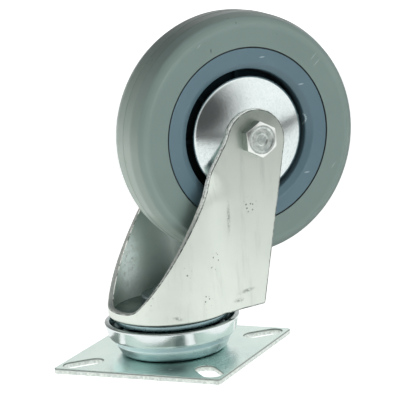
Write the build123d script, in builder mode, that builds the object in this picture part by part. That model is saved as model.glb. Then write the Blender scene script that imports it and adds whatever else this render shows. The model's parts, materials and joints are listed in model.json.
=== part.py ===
from build123d import *
import os
from math import acos, atan2, cos, degrees, radians, sin, sqrt, tan

# A swivel castor standing on its top plate, wheel uppermost.
# Origin: centre of the plate's mounting face.  +Z runs up the swivel axis.
# The fork and the wheel are drawn in a frame turned about +Z, whose first
# axis is the trail direction, from the swivel axis towards the axle.

# ---- top plate -------------------------------------------------------------
plate_length = 92.0
plate_width = 90.0
plate_thickness = 3.0
plate_corner = 1.8
plate_edge_break = 0.5
slot_spacing_x = 70.0
slot_spacing_y = 67.0
slot_length = 21.0
slot_width = 10.3
slot_angle = 45.0

# ---- swivel head -----------------------------------------------------------
cup_sheet = 2.6
cup_foot_radius = 26.6
cup_waist_radius = 29.9
cup_waist_height = 6.4
cup_wall_radius = 32.7
cup_wall_height = 9.5
cup_lip_radius = 34.7
cup_height = 16.7
cup_foot_bend = 3.0
cup_waist_bend = 0.8
cup_wall_bend = 3.0
cup_lip_break = 0.7
outer_ball_diameter = 7.9
outer_ball_count = 12
race_ring_radius = 29.3
race_ring_back = 2.8
race_ring_width = 8.6
race_ring_depth = 8.8
race_ring_edge = 0.5
inner_ball_diameter = 5.0
inner_ball_count = 8
inner_ball_circle = 21.0
seat_play = 0.03
race_play = 0.15
pin_diameter = 12.0
pin_spigot_diameter = 10.0
pin_head_diameter = 17.0
pin_head_height = 3.4
pin_head_chamfer = 1.3
pin_foot_diameter = 15.0
pin_hole_play = 0.8
head_washer_diameter = 29.4
head_washer_sheet = 2.4
head_washer_edge = 0.7
washer_skirt_gap = 1.0

# ---- fork ------------------------------------------------------------------
trail = 43.3
trail_angle = 51.0
axle_height = 109.0
fork_sheet = 2.8
fork_width = 47.2
crown_radius = 32.0
crown_corner = 2.0
leg_blend = 24.0
shoulder_below_axle = 30.0
shoulder_arc = 34.0
shoulder_end_inside = 3.75
eye_radius = 16.4
eye_drop = 1.5
eye_set_back = 0.3
mouth_cut = 1.2
mouth_set_in = 3.4
mouth_blend = 25.0
sill_height = 5.9
sill_blend = 6.0
heel_reach = 42.2
heel_rise = 1.0
heel_corner = 1.2
leg_edge_lead = 8.0

# ---- axle, thread guards and roller bearing --------------------------------
axle_diameter = 10.0
axle_hole_play = 0.15
head_flats = 16.0
head_height = 6.4
head_turn = 31.0
head_chamfer_height = 0.9
head_chamfer_diameter = 14.6
nut_height = 6.5
nut_collar_height = 3.0
nut_collar_diameter = 14.2
nut_collar_mouth = 11.4
insert_height = 2.2
insert_width = 1.3
bolt_end_past_nut = 2.0
bolt_end_chamfer = 1.0
guard_sheet = 1.2
guard_rim_gap = 3.6
guard_flat_diameter = 25.0
guard_drop = 8.2
guard_skirt = 1.6
sleeve_wall = 2.4
roller_diameter = 2.5
roller_count = 12
roller_length = 26.0
roller_play = 0.04
cage_gap = 0.3
cage_pocket_play = 0.15
cage_end = 3.0
bush_wall = 1.2
bush_set_in = 2.0

# ---- wheel -----------------------------------------------------------------
wheel_diameter = 125.0
tread_width = 32.0
tread_crown_drop = 0.8
shoulder_radius = 6.5
sidewall_dish = 0.4
sidewall_height = 8.0
tyre_wall_height = 16.5
tyre_lip_height = 1.4
tyre_lip_depth = 1.8
tyre_key_width = 12.0
tyre_key_height = 3.0
rim_recess = 0.6
rim_band_height = 7.5
rim_slope_height = 3.3
rim_slope_depth = 2.6
rim_wall_draft = 1.0
web_thickness = 7.0
hub_wall = 2.6
hub_end_gap = 0.6
web_rib_count = 8
web_rib_thickness = 2.4
web_rib_height = 2.5

# ---- shared places ---------------------------------------------------------
up = Vector(0, 0, 1)
trail_direction = Vector(cos(radians(trail_angle)), sin(radians(trail_angle)), 0)
axle_direction = Vector(-sin(radians(trail_angle)), cos(radians(trail_angle)), 0)
axle_centre = trail_direction * trail + up * axle_height
axle_axis = Axis(axle_centre, axle_direction)
fork_plane = Plane((0, 0, 0), x_dir=trail_direction, z_dir=up)
side_plane = Plane((0, 0, 0), x_dir=trail_direction, z_dir=axle_direction * -1)
wheel_plane = Plane(axle_centre, x_dir=trail_direction, z_dir=up)


def axle_plane(offset):
    """A plane across the axle, offset along it; its normal points to the bolt head's side."""
    return Plane(axle_centre + axle_direction * offset, x_dir=trail_direction, z_dir=axle_direction * -1)


def offset_corner(before, corner, after, distance):
    """Where the corner of a bent line goes when the line moves to its left by distance."""
    turn_in = atan2(corner[1] - before[1], corner[0] - before[0])
    turn_out = atan2(after[1] - corner[1], after[0] - corner[0])
    middle = (turn_in + turn_out) / 2
    reach = distance / cos((turn_out - turn_in) / 2)
    return (corner[0] - reach * sin(middle), corner[1] + reach * cos(middle))


# The cup's outer surface in section, as radius and height above the mounting face.
cup_waist = (cup_waist_radius, plate_thickness + cup_waist_height)
cup_wall_foot = (cup_wall_radius, plate_thickness + cup_wall_height)
cup_lip = (cup_lip_radius, plate_thickness + cup_height)

# Each outer ball nests in the corner between the cup's shoulder and its wall.
outer_ball_radius = outer_ball_diameter / 2
outer_ball_seat = cup_sheet + outer_ball_radius + seat_play
outer_ball_circle_radius, outer_ball_height = offset_corner(cup_waist, cup_wall_foot, cup_lip, outer_ball_seat)
outer_race_reach = outer_ball_radius + race_play
race_ring_roof = outer_ball_height + outer_race_reach
crown_bottom = race_ring_roof + race_ring_back
crown_floor = crown_bottom + fork_sheet

# The inner balls run on the crown's floor, inside the washer under the king pin's head.
inner_ball_radius = inner_ball_diameter / 2
inner_ball_circle_radius = inner_ball_circle / 2
inner_ball_height = crown_floor + race_play + inner_ball_radius
washer_bottom = inner_ball_height + inner_ball_radius + seat_play
washer_top = washer_bottom + head_washer_sheet

leg_outer = fork_width / 2
leg_inner = leg_outer - fork_sheet
pin_radius = pin_diameter / 2
pin_spigot_radius = pin_spigot_diameter / 2
axle_radius = axle_diameter / 2
sleeve_inner_radius = axle_radius + axle_hole_play
sleeve_outer_radius = sleeve_inner_radius + sleeve_wall
sleeve_end = leg_inner - guard_sheet
roller_radius = roller_diameter / 2
roller_circle_radius = sleeve_outer_radius + roller_play + roller_radius
bush_inner_radius = roller_circle_radius + roller_radius + seat_play
bush_outer_radius = bush_inner_radius + bush_wall
hub_bore_radius = bush_outer_radius + seat_play
hub_outer_radius = hub_bore_radius + hub_wall
hub_end = sleeve_end - hub_end_gap
bush_end = hub_end - bush_set_in

# The wheel's radii from the tread inwards to the recess that the thread guards sit in.
wheel_radius = wheel_diameter / 2
tyre_seat_radius = wheel_radius - tyre_wall_height
tyre_lip_radius = tyre_seat_radius - tyre_lip_height
rim_band_radius = tyre_lip_radius - rim_band_height
rim_wall_radius = rim_band_radius - rim_slope_height
guard_radius = rim_wall_radius - guard_rim_gap

# ============================================================================
# Base: the plate, the cup and the king pin, with both rows of balls
# ============================================================================
with BuildPart() as top_plate:
    with BuildSketch():
        RectangleRounded(plate_length, plate_width, plate_corner)
        for side_x in (-1, 1):
            for side_y in (-1, 1):
                with Locations((side_x * slot_spacing_x / 2, side_y * slot_spacing_y / 2)):
                    SlotOverall(slot_length, slot_width, rotation=side_x * side_y * slot_angle, mode=Mode.SUBTRACT)
    extrude(amount=plate_thickness)
    chamfer(top_plate.faces().sort_by(Axis.Z)[-1].edges(), length=plate_edge_break)
    with BuildSketch(Plane.XZ):
        Polygon(
            (0, 0),
            (pin_foot_diameter / 2 + seat_play, 0),
            (pin_spigot_radius + seat_play, plate_thickness),
            (0, plate_thickness),
            align=None,
        )
    revolve(axis=Axis.Z, mode=Mode.SUBTRACT)

with BuildPart() as swivel_cup:
    with BuildSketch(Plane.XZ):
        with BuildLine():
            cup_skin = FilletPolyline(
                (pin_spigot_radius + seat_play, plate_thickness),
                (cup_foot_radius, plate_thickness),
                cup_waist,
                cup_wall_foot,
                cup_lip,
                radius=[cup_foot_bend, cup_waist_bend, cup_wall_bend],
            )
            offset(cup_skin, amount=cup_sheet, side=Side.LEFT)
        make_face()
    revolve(axis=Axis.Z)
    lip_edges = swivel_cup.faces().filter_by(GeomType.CONE).sort_by(Axis.Z)[-1].edges()
    chamfer(lip_edges.filter_by(GeomType.CIRCLE), length=cup_lip_break)

with BuildPart(Plane.XY.offset(outer_ball_height)) as outer_balls:
    with PolarLocations(outer_ball_circle_radius, outer_ball_count):
        Sphere(outer_ball_radius)

with BuildPart(Plane.XY.offset(inner_ball_height)) as inner_balls:
    with PolarLocations(inner_ball_circle_radius, inner_ball_count):
        Sphere(inner_ball_radius)

with BuildPart() as head_washer:
    with BuildSketch(Plane.XZ):
        Polygon(
            (pin_spigot_radius + seat_play, washer_bottom),
            (inner_ball_circle_radius + inner_ball_radius + seat_play, washer_bottom),
            (inner_ball_circle_radius + inner_ball_radius + seat_play, crown_floor + washer_skirt_gap),
            (head_washer_diameter / 2, crown_floor + washer_skirt_gap),
            (head_washer_diameter / 2, washer_top),
            (pin_spigot_radius + seat_play, washer_top),
            align=None,
        )
    revolve(axis=Axis.Z)
    chamfer(head_washer.edges().group_by(Axis.Z)[-1].sort_by(SortBy.LENGTH)[-1], length=head_washer_edge)

pin_head_top = washer_top + pin_head_height
with BuildPart() as king_pin:
    with BuildSketch(Plane.XZ):
        Polygon(
            (0, 0),
            (pin_foot_diameter / 2, 0),
            (pin_spigot_radius, plate_thickness),
            (pin_spigot_radius, plate_thickness + cup_sheet),
            (pin_radius, plate_thickness + cup_sheet),
            (pin_radius, washer_bottom),
            (pin_spigot_radius, washer_bottom),
            (pin_spigot_radius, washer_top),
            (pin_head_diameter / 2, washer_top),
            (pin_head_diameter / 2, pin_head_top),
            (0, pin_head_top),
            align=None,
        )
    revolve(axis=Axis.Z)
    chamfer(king_pin.edges().group_by(Axis.Z)[-1], length=pin_head_chamfer)

# ============================================================================
# Fork: one sheet pressed into a crown, a round front shoulder and two legs
# ============================================================================
leg_reach = trail + eye_radius + crown_radius
leg_top = axle_height + eye_radius
shoulder_start = axle_height - shoulder_below_axle


def fork_form(inset):
    """The fork's outer form as a block, or its hollow when inset is the sheet's thickness."""
    floor = crown_bottom + inset
    drum = crown_radius - inset
    half_width = leg_outer - inset
    crease_reach = sqrt(drum**2 - half_width**2)
    arc_radius = shoulder_arc - inset
    arc_centre = drum - arc_radius
    # The shoulder closes in until it ends within the legs.
    sweep = degrees(acos((half_width - shoulder_end_inside - arc_centre) / arc_radius))
    with BuildPart() as form:
        with BuildSketch(side_plane):
            with BuildLine():
                base = Line((0, floor), (drum, floor))
                wall = Line(base @ 1, (drum, shoulder_start))
                shoulder = CenterArc((arc_centre, shoulder_start), arc_radius, 0, sweep)
                lid = Line(shoulder @ 1, (0, (shoulder @ 1).Y))
                Line(lid @ 1, base @ 0)
            make_face()
        revolve(axis=Axis.Z)
        with BuildSketch(fork_plane.offset(floor)):
            Rectangle(leg_reach, 2 * half_width, align=(Align.MIN, Align.CENTER))
        extrude(amount=leg_top)
        creases = ShapeList()
        for edge in form.edges():
            reach = edge.center().dot(trail_direction)
            on_leg = abs(abs(edge.center().dot(axle_direction)) - half_width) < 0.001
            if on_leg and (abs(reach - crease_reach) < 0.1 or edge.geom_type == GeomType.BSPLINE):
                creases.append(edge)
        fillet(creases, radius=leg_blend + inset)
        rim = ShapeList()
        for edge in form.edges().group_by(Axis.Z)[0]:
            if edge.center().dot(trail_direction) < leg_reach - 1:
                rim.append(edge)
        if inset == 0:
            fillet(rim, radius=crown_corner)
    return form.part


def tangent_point(outside, centre, radius, side):
    """Where a line from an outside point touches a circle; side is +1 or -1 for either flank."""
    toward = atan2(outside[1] - centre[1], outside[0] - centre[0])
    spread = acos(radius / sqrt((outside[0] - centre[0]) ** 2 + (outside[1] - centre[1]) ** 2))
    return (
        centre[0] + radius * cos(toward + side * spread),
        centre[1] + radius * sin(toward + side * spread),
    )


fork_skin = fork_form(0)
fork_hollow = fork_form(fork_sheet)

# The outline seen from the side, as reach along the trail and height.
eye_centre = (trail - eye_set_back, axle_height - eye_drop)
sill = crown_bottom + sill_height
mouth_foot = (mouth_set_in - crown_radius, sill)
mouth_end = tangent_point(mouth_foot, eye_centre, eye_radius - mouth_cut, -1)
heel = (heel_reach, crown_bottom + heel_rise)
leg_lift_start = sqrt(crown_radius**2 - leg_inner**2)
heel_tangent = tangent_point(heel, eye_centre, eye_radius, 1)
leg_flat_start = sqrt((crown_radius + leg_blend) ** 2 - (leg_outer + leg_blend) ** 2)
leg_edge_start = leg_flat_start - leg_edge_lead

with BuildPart() as fork:
    add(fork_skin)
    add(fork_hollow, mode=Mode.SUBTRACT)
    # The crown's floor is a disc; behind it only the two legs go on.
    with BuildSketch(fork_plane.offset(crown_bottom)):
        Rectangle(leg_reach, 2 * leg_inner, align=(Align.MIN, Align.CENTER))
        Circle(crown_radius, mode=Mode.SUBTRACT)
    extrude(amount=fork_sheet, mode=Mode.SUBTRACT)
    # The crown's rounded rim fades out where the legs begin; from there they are full sheets.
    with BuildSketch(fork_plane.offset(crown_bottom)):
        for side in (-1, 1):
            with Locations((leg_edge_start, side * (leg_outer - fork_sheet / 2))):
                Rectangle(leg_reach - leg_edge_start, fork_sheet, align=(Align.MIN, Align.CENTER))
    extrude(amount=crown_corner)
    with BuildSketch(side_plane) as outline:
        with BuildLine():
            Polyline(
                (-2 * crown_radius, crown_bottom),
                (leg_lift_start, crown_bottom),
                heel,
                heel_tangent,
                eye_centre,
                mouth_end,
                mouth_foot,
                (-2 * crown_radius, sill),
                close=True,
            )
        make_face()
        with Locations(eye_centre):
            Circle(eye_radius)
        fillet(outline.vertices().sort_by_distance(Vector(*mouth_foot))[0], radius=sill_blend)
        fillet(outline.vertices().sort_by_distance(Vector(*heel))[0], radius=heel_corner)
        fillet(outline.vertices().sort_by_distance(Vector(*mouth_end))[0], radius=mouth_blend)
    extrude(amount=2 * crown_radius, both=True, mode=Mode.INTERSECT)
    # The king pin's hole in the crown and the axle's holes in the eyes.
    with BuildSketch(Plane.XY.offset(crown_bottom)):
        Circle(pin_radius + pin_hole_play)
    extrude(amount=fork_sheet, mode=Mode.SUBTRACT)
    with BuildSketch(axle_plane(-leg_outer)):
        Circle(axle_radius + axle_hole_play)
    extrude(amount=-fork_width, mode=Mode.SUBTRACT)

race_ring_bore = race_ring_radius - race_ring_width
race_ring_foot = crown_bottom - race_ring_depth
race_facet = outer_race_reach * tan(radians(22.5))
with BuildPart() as fork_race:
    with BuildSketch(Plane.XZ):
        Polygon(
            (race_ring_bore, crown_bottom),
            (race_ring_radius, crown_bottom),
            (race_ring_radius, race_ring_roof),
            (outer_ball_circle_radius - race_facet, race_ring_roof),
            (outer_ball_circle_radius - outer_race_reach, outer_ball_height + race_facet),
            (outer_ball_circle_radius - outer_race_reach, race_ring_foot),
            (race_ring_bore, race_ring_foot),
            align=None,
        )
    revolve(axis=Axis.Z)
    chamfer(fork_race.edges().group_by(Axis.Z)[-1].sort_by(SortBy.LENGTH)[-1], length=race_ring_edge)

# ============================================================================
# Axle: bolt, locking nut, sleeve and thread guards, all carried by the fork
# ============================================================================
head_top = leg_outer + head_height
nut_hex_end = leg_outer + nut_height
nut_end = nut_hex_end + nut_collar_height
bolt_end = nut_end + bolt_end_past_nut
hex_corner_radius = head_flats / sqrt(3)


def hexagon_block(start, end, chamfer_end, turn):
    """A hexagon prism along the axle whose corners are turned down to a cone at one end."""
    outward = 1 if end > start else -1
    with BuildPart() as block:
        with BuildSketch(axle_plane(start)):
            RegularPolygon(radius=head_flats / 2, side_count=6, major_radius=False, rotation=turn)
        extrude(amount=start - end)
        with BuildSketch(wheel_plane):
            Polygon(
                (0, start),
                (hex_corner_radius, start),
                (hex_corner_radius, chamfer_end - outward * head_chamfer_height),
                (head_chamfer_diameter / 2, chamfer_end),
                (0, chamfer_end),
                align=None,
            )
        revolve(axis=axle_axis, mode=Mode.INTERSECT)
    return block.part


bolt_head = hexagon_block(-leg_outer, -head_top, -head_top, head_turn)
nut_hexagon = hexagon_block(leg_outer, nut_hex_end, nut_hex_end, -head_turn)

with BuildPart() as axle_bolt:
    add(bolt_head)
    with BuildSketch(axle_plane(-leg_outer)):
        Circle(axle_radius)
    extrude(amount=-(leg_outer + bolt_end))
    tip = axle_bolt.faces().sort_by(Axis((0, 0, 0), axle_direction))[-1]
    chamfer(tip.edges(), length=bolt_end_chamfer)

insert_inner_radius = axle_radius + seat_play
insert_outer_radius = insert_inner_radius + insert_width
with BuildPart() as axle_nut:
    add(nut_hexagon)
    with BuildSketch(axle_plane(nut_hex_end)):
        Circle(nut_collar_diameter / 2)
    extrude(amount=-nut_collar_height)
    with BuildSketch(axle_plane(leg_outer)):
        Circle(insert_inner_radius)
    extrude(amount=-(nut_end - leg_outer), mode=Mode.SUBTRACT)
    with BuildSketch(axle_plane(nut_hex_end)):
        Circle(insert_outer_radius + seat_play)
    extrude(amount=-(insert_height + seat_play), mode=Mode.SUBTRACT)
    with BuildSketch(axle_plane(nut_end)):
        Circle(nut_collar_mouth / 2)
    extrude(amount=nut_collar_height, mode=Mode.SUBTRACT)

with BuildPart() as nut_insert:
    with BuildSketch(axle_plane(nut_hex_end)):
        Circle(insert_outer_radius)
        Circle(insert_inner_radius, mode=Mode.SUBTRACT)
    extrude(amount=-insert_height)

with BuildPart() as axle_sleeve:
    with BuildSketch(axle_plane(sleeve_end)):
        Circle(sleeve_outer_radius)
        Circle(sleeve_inner_radius, mode=Mode.SUBTRACT)
    extrude(amount=2 * sleeve_end)


def thread_guard(side):
    """A domed cover against one leg's inner face; side is -1 at the bolt head and +1 at the nut."""
    hole_radius = axle_radius + axle_hole_play
    flat_radius = guard_flat_diameter / 2
    skirt_radius = guard_radius - guard_sheet
    skirt_end = leg_inner - guard_drop
    skirt_start = skirt_end + guard_skirt
    # The dome is a zone of a ball whose centre lies on the axle, this deep under the flat.
    drop = leg_inner - skirt_start
    depth = (guard_radius**2 - flat_radius**2 + drop**2) / (2 * drop)
    dome_radius = sqrt(flat_radius**2 + depth**2)
    inner_radius = dome_radius - guard_sheet
    inner_flat_radius = sqrt(inner_radius**2 - (depth - guard_sheet) ** 2)
    inner_skirt_start = leg_inner - depth + sqrt(inner_radius**2 - skirt_radius**2)
    inner_flat = leg_inner - guard_sheet
    with BuildPart() as guard:
        with BuildSketch(wheel_plane):
            with BuildLine():
                flat = Line((hole_radius, side * leg_inner), (flat_radius, side * leg_inner))
                dome = RadiusArc(flat @ 1, (guard_radius, side * skirt_start), side * dome_radius)
                skirt = Polyline(
                    dome @ 1,
                    (guard_radius, side * skirt_end),
                    (skirt_radius, side * skirt_end),
                    (skirt_radius, side * inner_skirt_start),
                )
                underside = RadiusArc(skirt @ 1, (inner_flat_radius, side * inner_flat), -side * inner_radius)
                Polyline(underside @ 1, (hole_radius, side * inner_flat), flat @ 0)
            make_face()
        revolve(axis=axle_axis)
    return guard


thread_guard_near = thread_guard(-1)
thread_guard_far = thread_guard(1)

# ============================================================================
# Wheel: tyre, moulded centre and roller bearing
# ============================================================================
half_tread = tread_width / 2
tyre_lip_start = half_tread - rim_recess - tyre_lip_depth
tyre_key_radius = tyre_seat_radius + tyre_key_height
rim_end = half_tread - rim_recess
with BuildPart() as tyre:
    with BuildSketch(wheel_plane) as tyre_section:
        with BuildLine():
            Polyline(
                (tyre_key_radius + seat_play, 0),
                (tyre_key_radius + seat_play, tyre_key_width / 2 + seat_play),
                (tyre_seat_radius + seat_play, tyre_key_width / 2 + seat_play),
                (tyre_seat_radius + seat_play, tyre_lip_start + seat_play),
                (tyre_lip_radius + seat_play, tyre_lip_start + seat_play),
                (tyre_lip_radius + seat_play, half_tread - sidewall_dish),
                (tyre_lip_radius + sidewall_height, half_tread),
                (wheel_radius - tread_crown_drop, half_tread),
            )
            ThreePointArc(
                (wheel_radius - tread_crown_drop, half_tread),
                (wheel_radius, 0),
                (wheel_radius - tread_crown_drop, -half_tread),
            )
            Polyline(
                (wheel_radius - tread_crown_drop, -half_tread),
                (tyre_lip_radius + sidewall_height, -half_tread),
                (tyre_lip_radius + seat_play, sidewall_dish - half_tread),
                (tyre_lip_radius + seat_play, -tyre_lip_start - seat_play),
                (tyre_seat_radius + seat_play, -tyre_lip_start - seat_play),
                (tyre_seat_radius + seat_play, -tyre_key_width / 2 - seat_play),
                (tyre_key_radius + seat_play, -tyre_key_width / 2 - seat_play),
                (tyre_key_radius + seat_play, 0),
            )
        make_face()
        fillet(tyre_section.vertices().group_by(Axis.X)[-1], radius=shoulder_radius)
    revolve(axis=axle_axis)

half_web = web_thickness / 2
rim_root_radius = rim_wall_radius - rim_wall_draft
with BuildPart() as wheel_centre:
    with BuildSketch(wheel_plane):
        with BuildLine():
            Polyline(
                (hub_bore_radius, 0),
                (hub_bore_radius, hub_end),
                (hub_outer_radius, hub_end),
                (hub_outer_radius, half_web),
                (rim_root_radius, half_web),
                (rim_wall_radius, rim_end - rim_slope_depth),
                (rim_band_radius, rim_end),
                (tyre_lip_radius, rim_end),
                (tyre_lip_radius, tyre_lip_start),
                (tyre_seat_radius, tyre_lip_start),
                (tyre_seat_radius, tyre_key_width / 2),
                (tyre_key_radius, tyre_key_width / 2),
                (tyre_key_radius, 0),
            )
            mirror(about=Plane.XZ)
        make_face()
    revolve(axis=axle_axis)
    with BuildSketch(axle_plane(half_web + web_rib_height)):
        with PolarLocations((hub_outer_radius + rim_root_radius) / 2, web_rib_count):
            Rectangle(rim_root_radius - hub_outer_radius + hub_wall, web_rib_thickness)
    extrude(amount=web_thickness + 2 * web_rib_height)

with BuildPart() as bearing_bush:
    with BuildSketch(axle_plane(bush_end)):
        Circle(bush_outer_radius)
        Circle(bush_inner_radius, mode=Mode.SUBTRACT)
    extrude(amount=2 * bush_end)

cage_inner_radius = sleeve_outer_radius + cage_gap
cage_outer_radius = bush_inner_radius - cage_gap
cage_half_length = roller_length / 2 + cage_end
with BuildPart() as roller_cage:
    with BuildSketch(axle_plane(cage_half_length)):
        Circle(cage_outer_radius)
        Circle(cage_inner_radius, mode=Mode.SUBTRACT)
    extrude(amount=2 * cage_half_length)
    with BuildSketch(axle_plane(roller_length / 2 + cage_pocket_play)):
        with PolarLocations(roller_circle_radius, roller_count):
            Rectangle(2 * roller_diameter, roller_diameter + 2 * cage_pocket_play)
    extrude(amount=roller_length + 2 * cage_pocket_play, mode=Mode.SUBTRACT)

with BuildPart() as bearing_rollers:
    with BuildSketch(axle_plane(roller_length / 2)):
        with PolarLocations(roller_circle_radius, roller_count):
            Circle(roller_radius)
    extrude(amount=roller_length)

# ============================================================================
# Each piece is written to its own file
# ============================================================================
pieces = {
    "top_plate": top_plate,
    "swivel_cup": swivel_cup,
    "king_pin": king_pin,
    "head_washer": head_washer,
    "outer_balls": outer_balls,
    "inner_balls": inner_balls,
    "fork": fork,
    "fork_race": fork_race,
    "axle_bolt": axle_bolt,
    "axle_nut": axle_nut,
    "nut_insert": nut_insert,
    "axle_sleeve": axle_sleeve,
    "thread_guard_near": thread_guard_near,
    "thread_guard_far": thread_guard_far,
    "tyre": tyre,
    "wheel_centre": wheel_centre,
    "bearing_bush": bearing_bush,
    "roller_cage": roller_cage,
    "bearing_rollers": bearing_rollers,
}
os.makedirs("parts", exist_ok=True)
for name, piece in pieces.items():
    piece.part.label = name
    export_step(piece.part, f"parts/{name}.step")
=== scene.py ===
# %% [markdown]
# # A swivel castor, dressed for its portrait
#
# The castor stands on its slotted top plate with the wheel uppermost.  Its
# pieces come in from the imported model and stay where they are: this file gives
# them their finish, and remakes those whose looks need a finer mesh than the
# model's.  Blender counts in metres, and a toolmaker in millimetres, so the
# castor's sizes are written in millimetres and brought to metres where points
# and masks are made.  The studio round it is written in metres.

import json
from math import acos, asin, atan2, ceil, cos, pi, radians, sin, sqrt, tan

import bmesh
import bpy
from mathutils import Matrix, Vector
from mathutils.geometry import delaunay_2d_cdt
from mathutils.kdtree import KDTree


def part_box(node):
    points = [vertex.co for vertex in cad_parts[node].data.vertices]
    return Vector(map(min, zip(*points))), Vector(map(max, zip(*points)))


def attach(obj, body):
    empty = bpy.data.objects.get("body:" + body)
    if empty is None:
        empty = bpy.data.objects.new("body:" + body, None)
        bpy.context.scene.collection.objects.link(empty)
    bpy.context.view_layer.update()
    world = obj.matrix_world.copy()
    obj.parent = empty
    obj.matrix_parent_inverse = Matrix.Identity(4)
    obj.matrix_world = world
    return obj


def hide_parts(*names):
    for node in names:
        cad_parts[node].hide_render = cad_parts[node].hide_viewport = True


MM = 0.001
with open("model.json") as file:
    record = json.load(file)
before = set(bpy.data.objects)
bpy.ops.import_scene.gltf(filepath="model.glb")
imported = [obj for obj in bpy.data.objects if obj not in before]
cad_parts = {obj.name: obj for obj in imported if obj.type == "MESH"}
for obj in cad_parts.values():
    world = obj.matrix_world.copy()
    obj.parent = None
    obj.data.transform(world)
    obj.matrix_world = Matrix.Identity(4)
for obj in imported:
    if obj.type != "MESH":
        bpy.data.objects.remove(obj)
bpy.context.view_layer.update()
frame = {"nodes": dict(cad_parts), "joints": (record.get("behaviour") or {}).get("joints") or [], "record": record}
nodes = frame["nodes"]
for plain in list(bpy.data.materials):
    bpy.data.materials.remove(plain)
bodies = frame["record"]["behaviour"]["bodies"]
body_of = {node: body for body, members in bodies.items() for node in members}

# %% [markdown]
# ## Two axes carry the whole object
# The swivel axis is +Z through the origin, and the axle's place and direction
# are the wheel joint's.  The trail direction points from the swivel axis to the
# axle.  Every turned piece is drawn in the local frame of one of these axes,
# with its own Z along the axis, and moved there by that frame's matrix.  `NEAR`
# turns a piece from the axle's far side to its near side.

# %% The axes
joints = {joint["name"]: joint for joint in frame["joints"]}
axle_centre = Vector(joints["wheel_spin"]["pos_m"])
axle_direction = Vector(joints["wheel_spin"]["axis"]).normalized()
up = Vector((0, 0, 1))
trail_direction = axle_direction.cross(up).normalized()
axle_turn = Matrix((trail_direction, -up, axle_direction)).transposed().to_4x4()
SWIVEL = Matrix.Identity(4)
AXLE = Matrix.Translation(axle_centre) @ axle_turn
FORK = Matrix((trail_direction, axle_direction, up)).transposed().to_4x4()
NEAR = Matrix.Rotation(pi, 4, "X")


def spans(node, axis):
    """A node's least and greatest radius about an axis, and its ends along it, in millimetres."""
    inverse = axis.inverted()
    places = [inverse @ vertex.co for vertex in nodes[node].data.vertices]
    radii = [place.xy.length / MM for place in places]
    lengths = [place.z / MM for place in places]
    return min(radii), max(radii), min(lengths), max(lengths)


print("axle at", tuple(round(v, 4) for v in axle_centre))
print("trail along", tuple(round(v, 3) for v in trail_direction))

# %% [markdown]
# ## Camera
# A long lens from about a metre, a little above the plate, rolled by a few
# degrees.  The place, the point it looks at and the roll say it all.

# %% Camera
CAMERA_PLACE = Vector((0.4478, -0.8780, 0.2898))
CAMERA_TARGET = Vector((0.01448, 0.01322, 0.07786))
CAMERA_ROLL = radians(-4.33)
CAMERA_LENS = 180.0
CAMERA_SENSOR = 36.0
FRAME_PIXELS = 400
CAMERA_CLIP = (0.05, 20.0)


def added(name, data):
    """A new object that is linked into the scene."""
    made = bpy.data.objects.new(name, data)
    bpy.context.scene.collection.objects.link(made)
    return made


camera_data = bpy.data.cameras.new("camera")
camera_data.lens = CAMERA_LENS
camera_data.sensor_width = CAMERA_SENSOR
camera_data.clip_start, camera_data.clip_end = CAMERA_CLIP
camera = added("camera", camera_data)
look = (CAMERA_TARGET - CAMERA_PLACE).to_track_quat("-Z", "Y").to_matrix().to_4x4()
camera_matrix = Matrix.Translation(CAMERA_PLACE) @ look @ Matrix.Rotation(CAMERA_ROLL, 4, "Z")
camera.matrix_world = camera_matrix
bpy.context.scene.camera = camera
print("camera", round((CAMERA_TARGET - CAMERA_PLACE).length, 3), "m away")

# %% [markdown]
# A scuff or a stain is easiest to place as the camera sees it.  This helper
# shoots a ray from the camera through a pixel of its frame and says where it
# lands on a piece, so the mark belongs to the metal and stays there from every
# other side.

# %% From a pixel to a place
HEAD_PIXEL = (264, 137)


def place_at(node, across, down):
    """Where a pixel's ray first meets a node, in the frame's metres."""
    reach = CAMERA_SENSOR / CAMERA_LENS / FRAME_PIXELS
    aim = Vector(((across - FRAME_PIXELS / 2) * reach, (FRAME_PIXELS / 2 - down) * reach, -1.0))
    ray = (camera_matrix.to_3x3() @ aim).normalized()
    hit, place, _, _ = nodes[node].ray_cast(camera_matrix.translation, ray)
    if not hit:
        raise ValueError(f"no {node} at pixel {across}, {down}")
    return place


print("axle head seen at", tuple(round(v, 4) for v in place_at("axle_bolt", *HEAD_PIXEL)))

# %% [markdown]
# ## Node trees as sums
# A shader or a geometry tree is easier to read as a sum than as a web of wires.
# `Wire` wraps one output socket, and arithmetic on it adds the Math nodes.

# %% Wire
class Wire:
    """An output socket of a node tree; + - * / and ** on it add Math nodes."""

    def __init__(self, tree, socket):
        self.tree = tree
        self.socket = socket

    def maths(self, operation, first, second=0.0):
        return self.tree.node("ShaderNodeMath", {"operation": operation}, {0: first, 1: second})

    def __add__(self, other):
        return self.maths("ADD", self, other)

    __radd__ = __add__

    def __mul__(self, other):
        return self.maths("MULTIPLY", self, other)

    __rmul__ = __mul__

    def __sub__(self, other):
        return self.maths("SUBTRACT", self, other)

    def __rsub__(self, other):
        return self.maths("SUBTRACT", other, self)

    def __truediv__(self, other):
        return self.maths("DIVIDE", self, other)

    def __rtruediv__(self, other):
        return self.maths("DIVIDE", other, self)

    def __pow__(self, other):
        return self.maths("POWER", self, other)

    def at_most(self, other):
        return self.maths("MINIMUM", self, other)

    def at_least(self, other):
        return self.maths("MAXIMUM", self, other)


print("wires can be added up")

# %% [markdown]
# `Tree` holds the one method that makes any other node, and a few short names
# for the nodes that come up most: the smooth ramp, the blend of two colours,
# vector maths and a vector's single coordinates.

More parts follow.
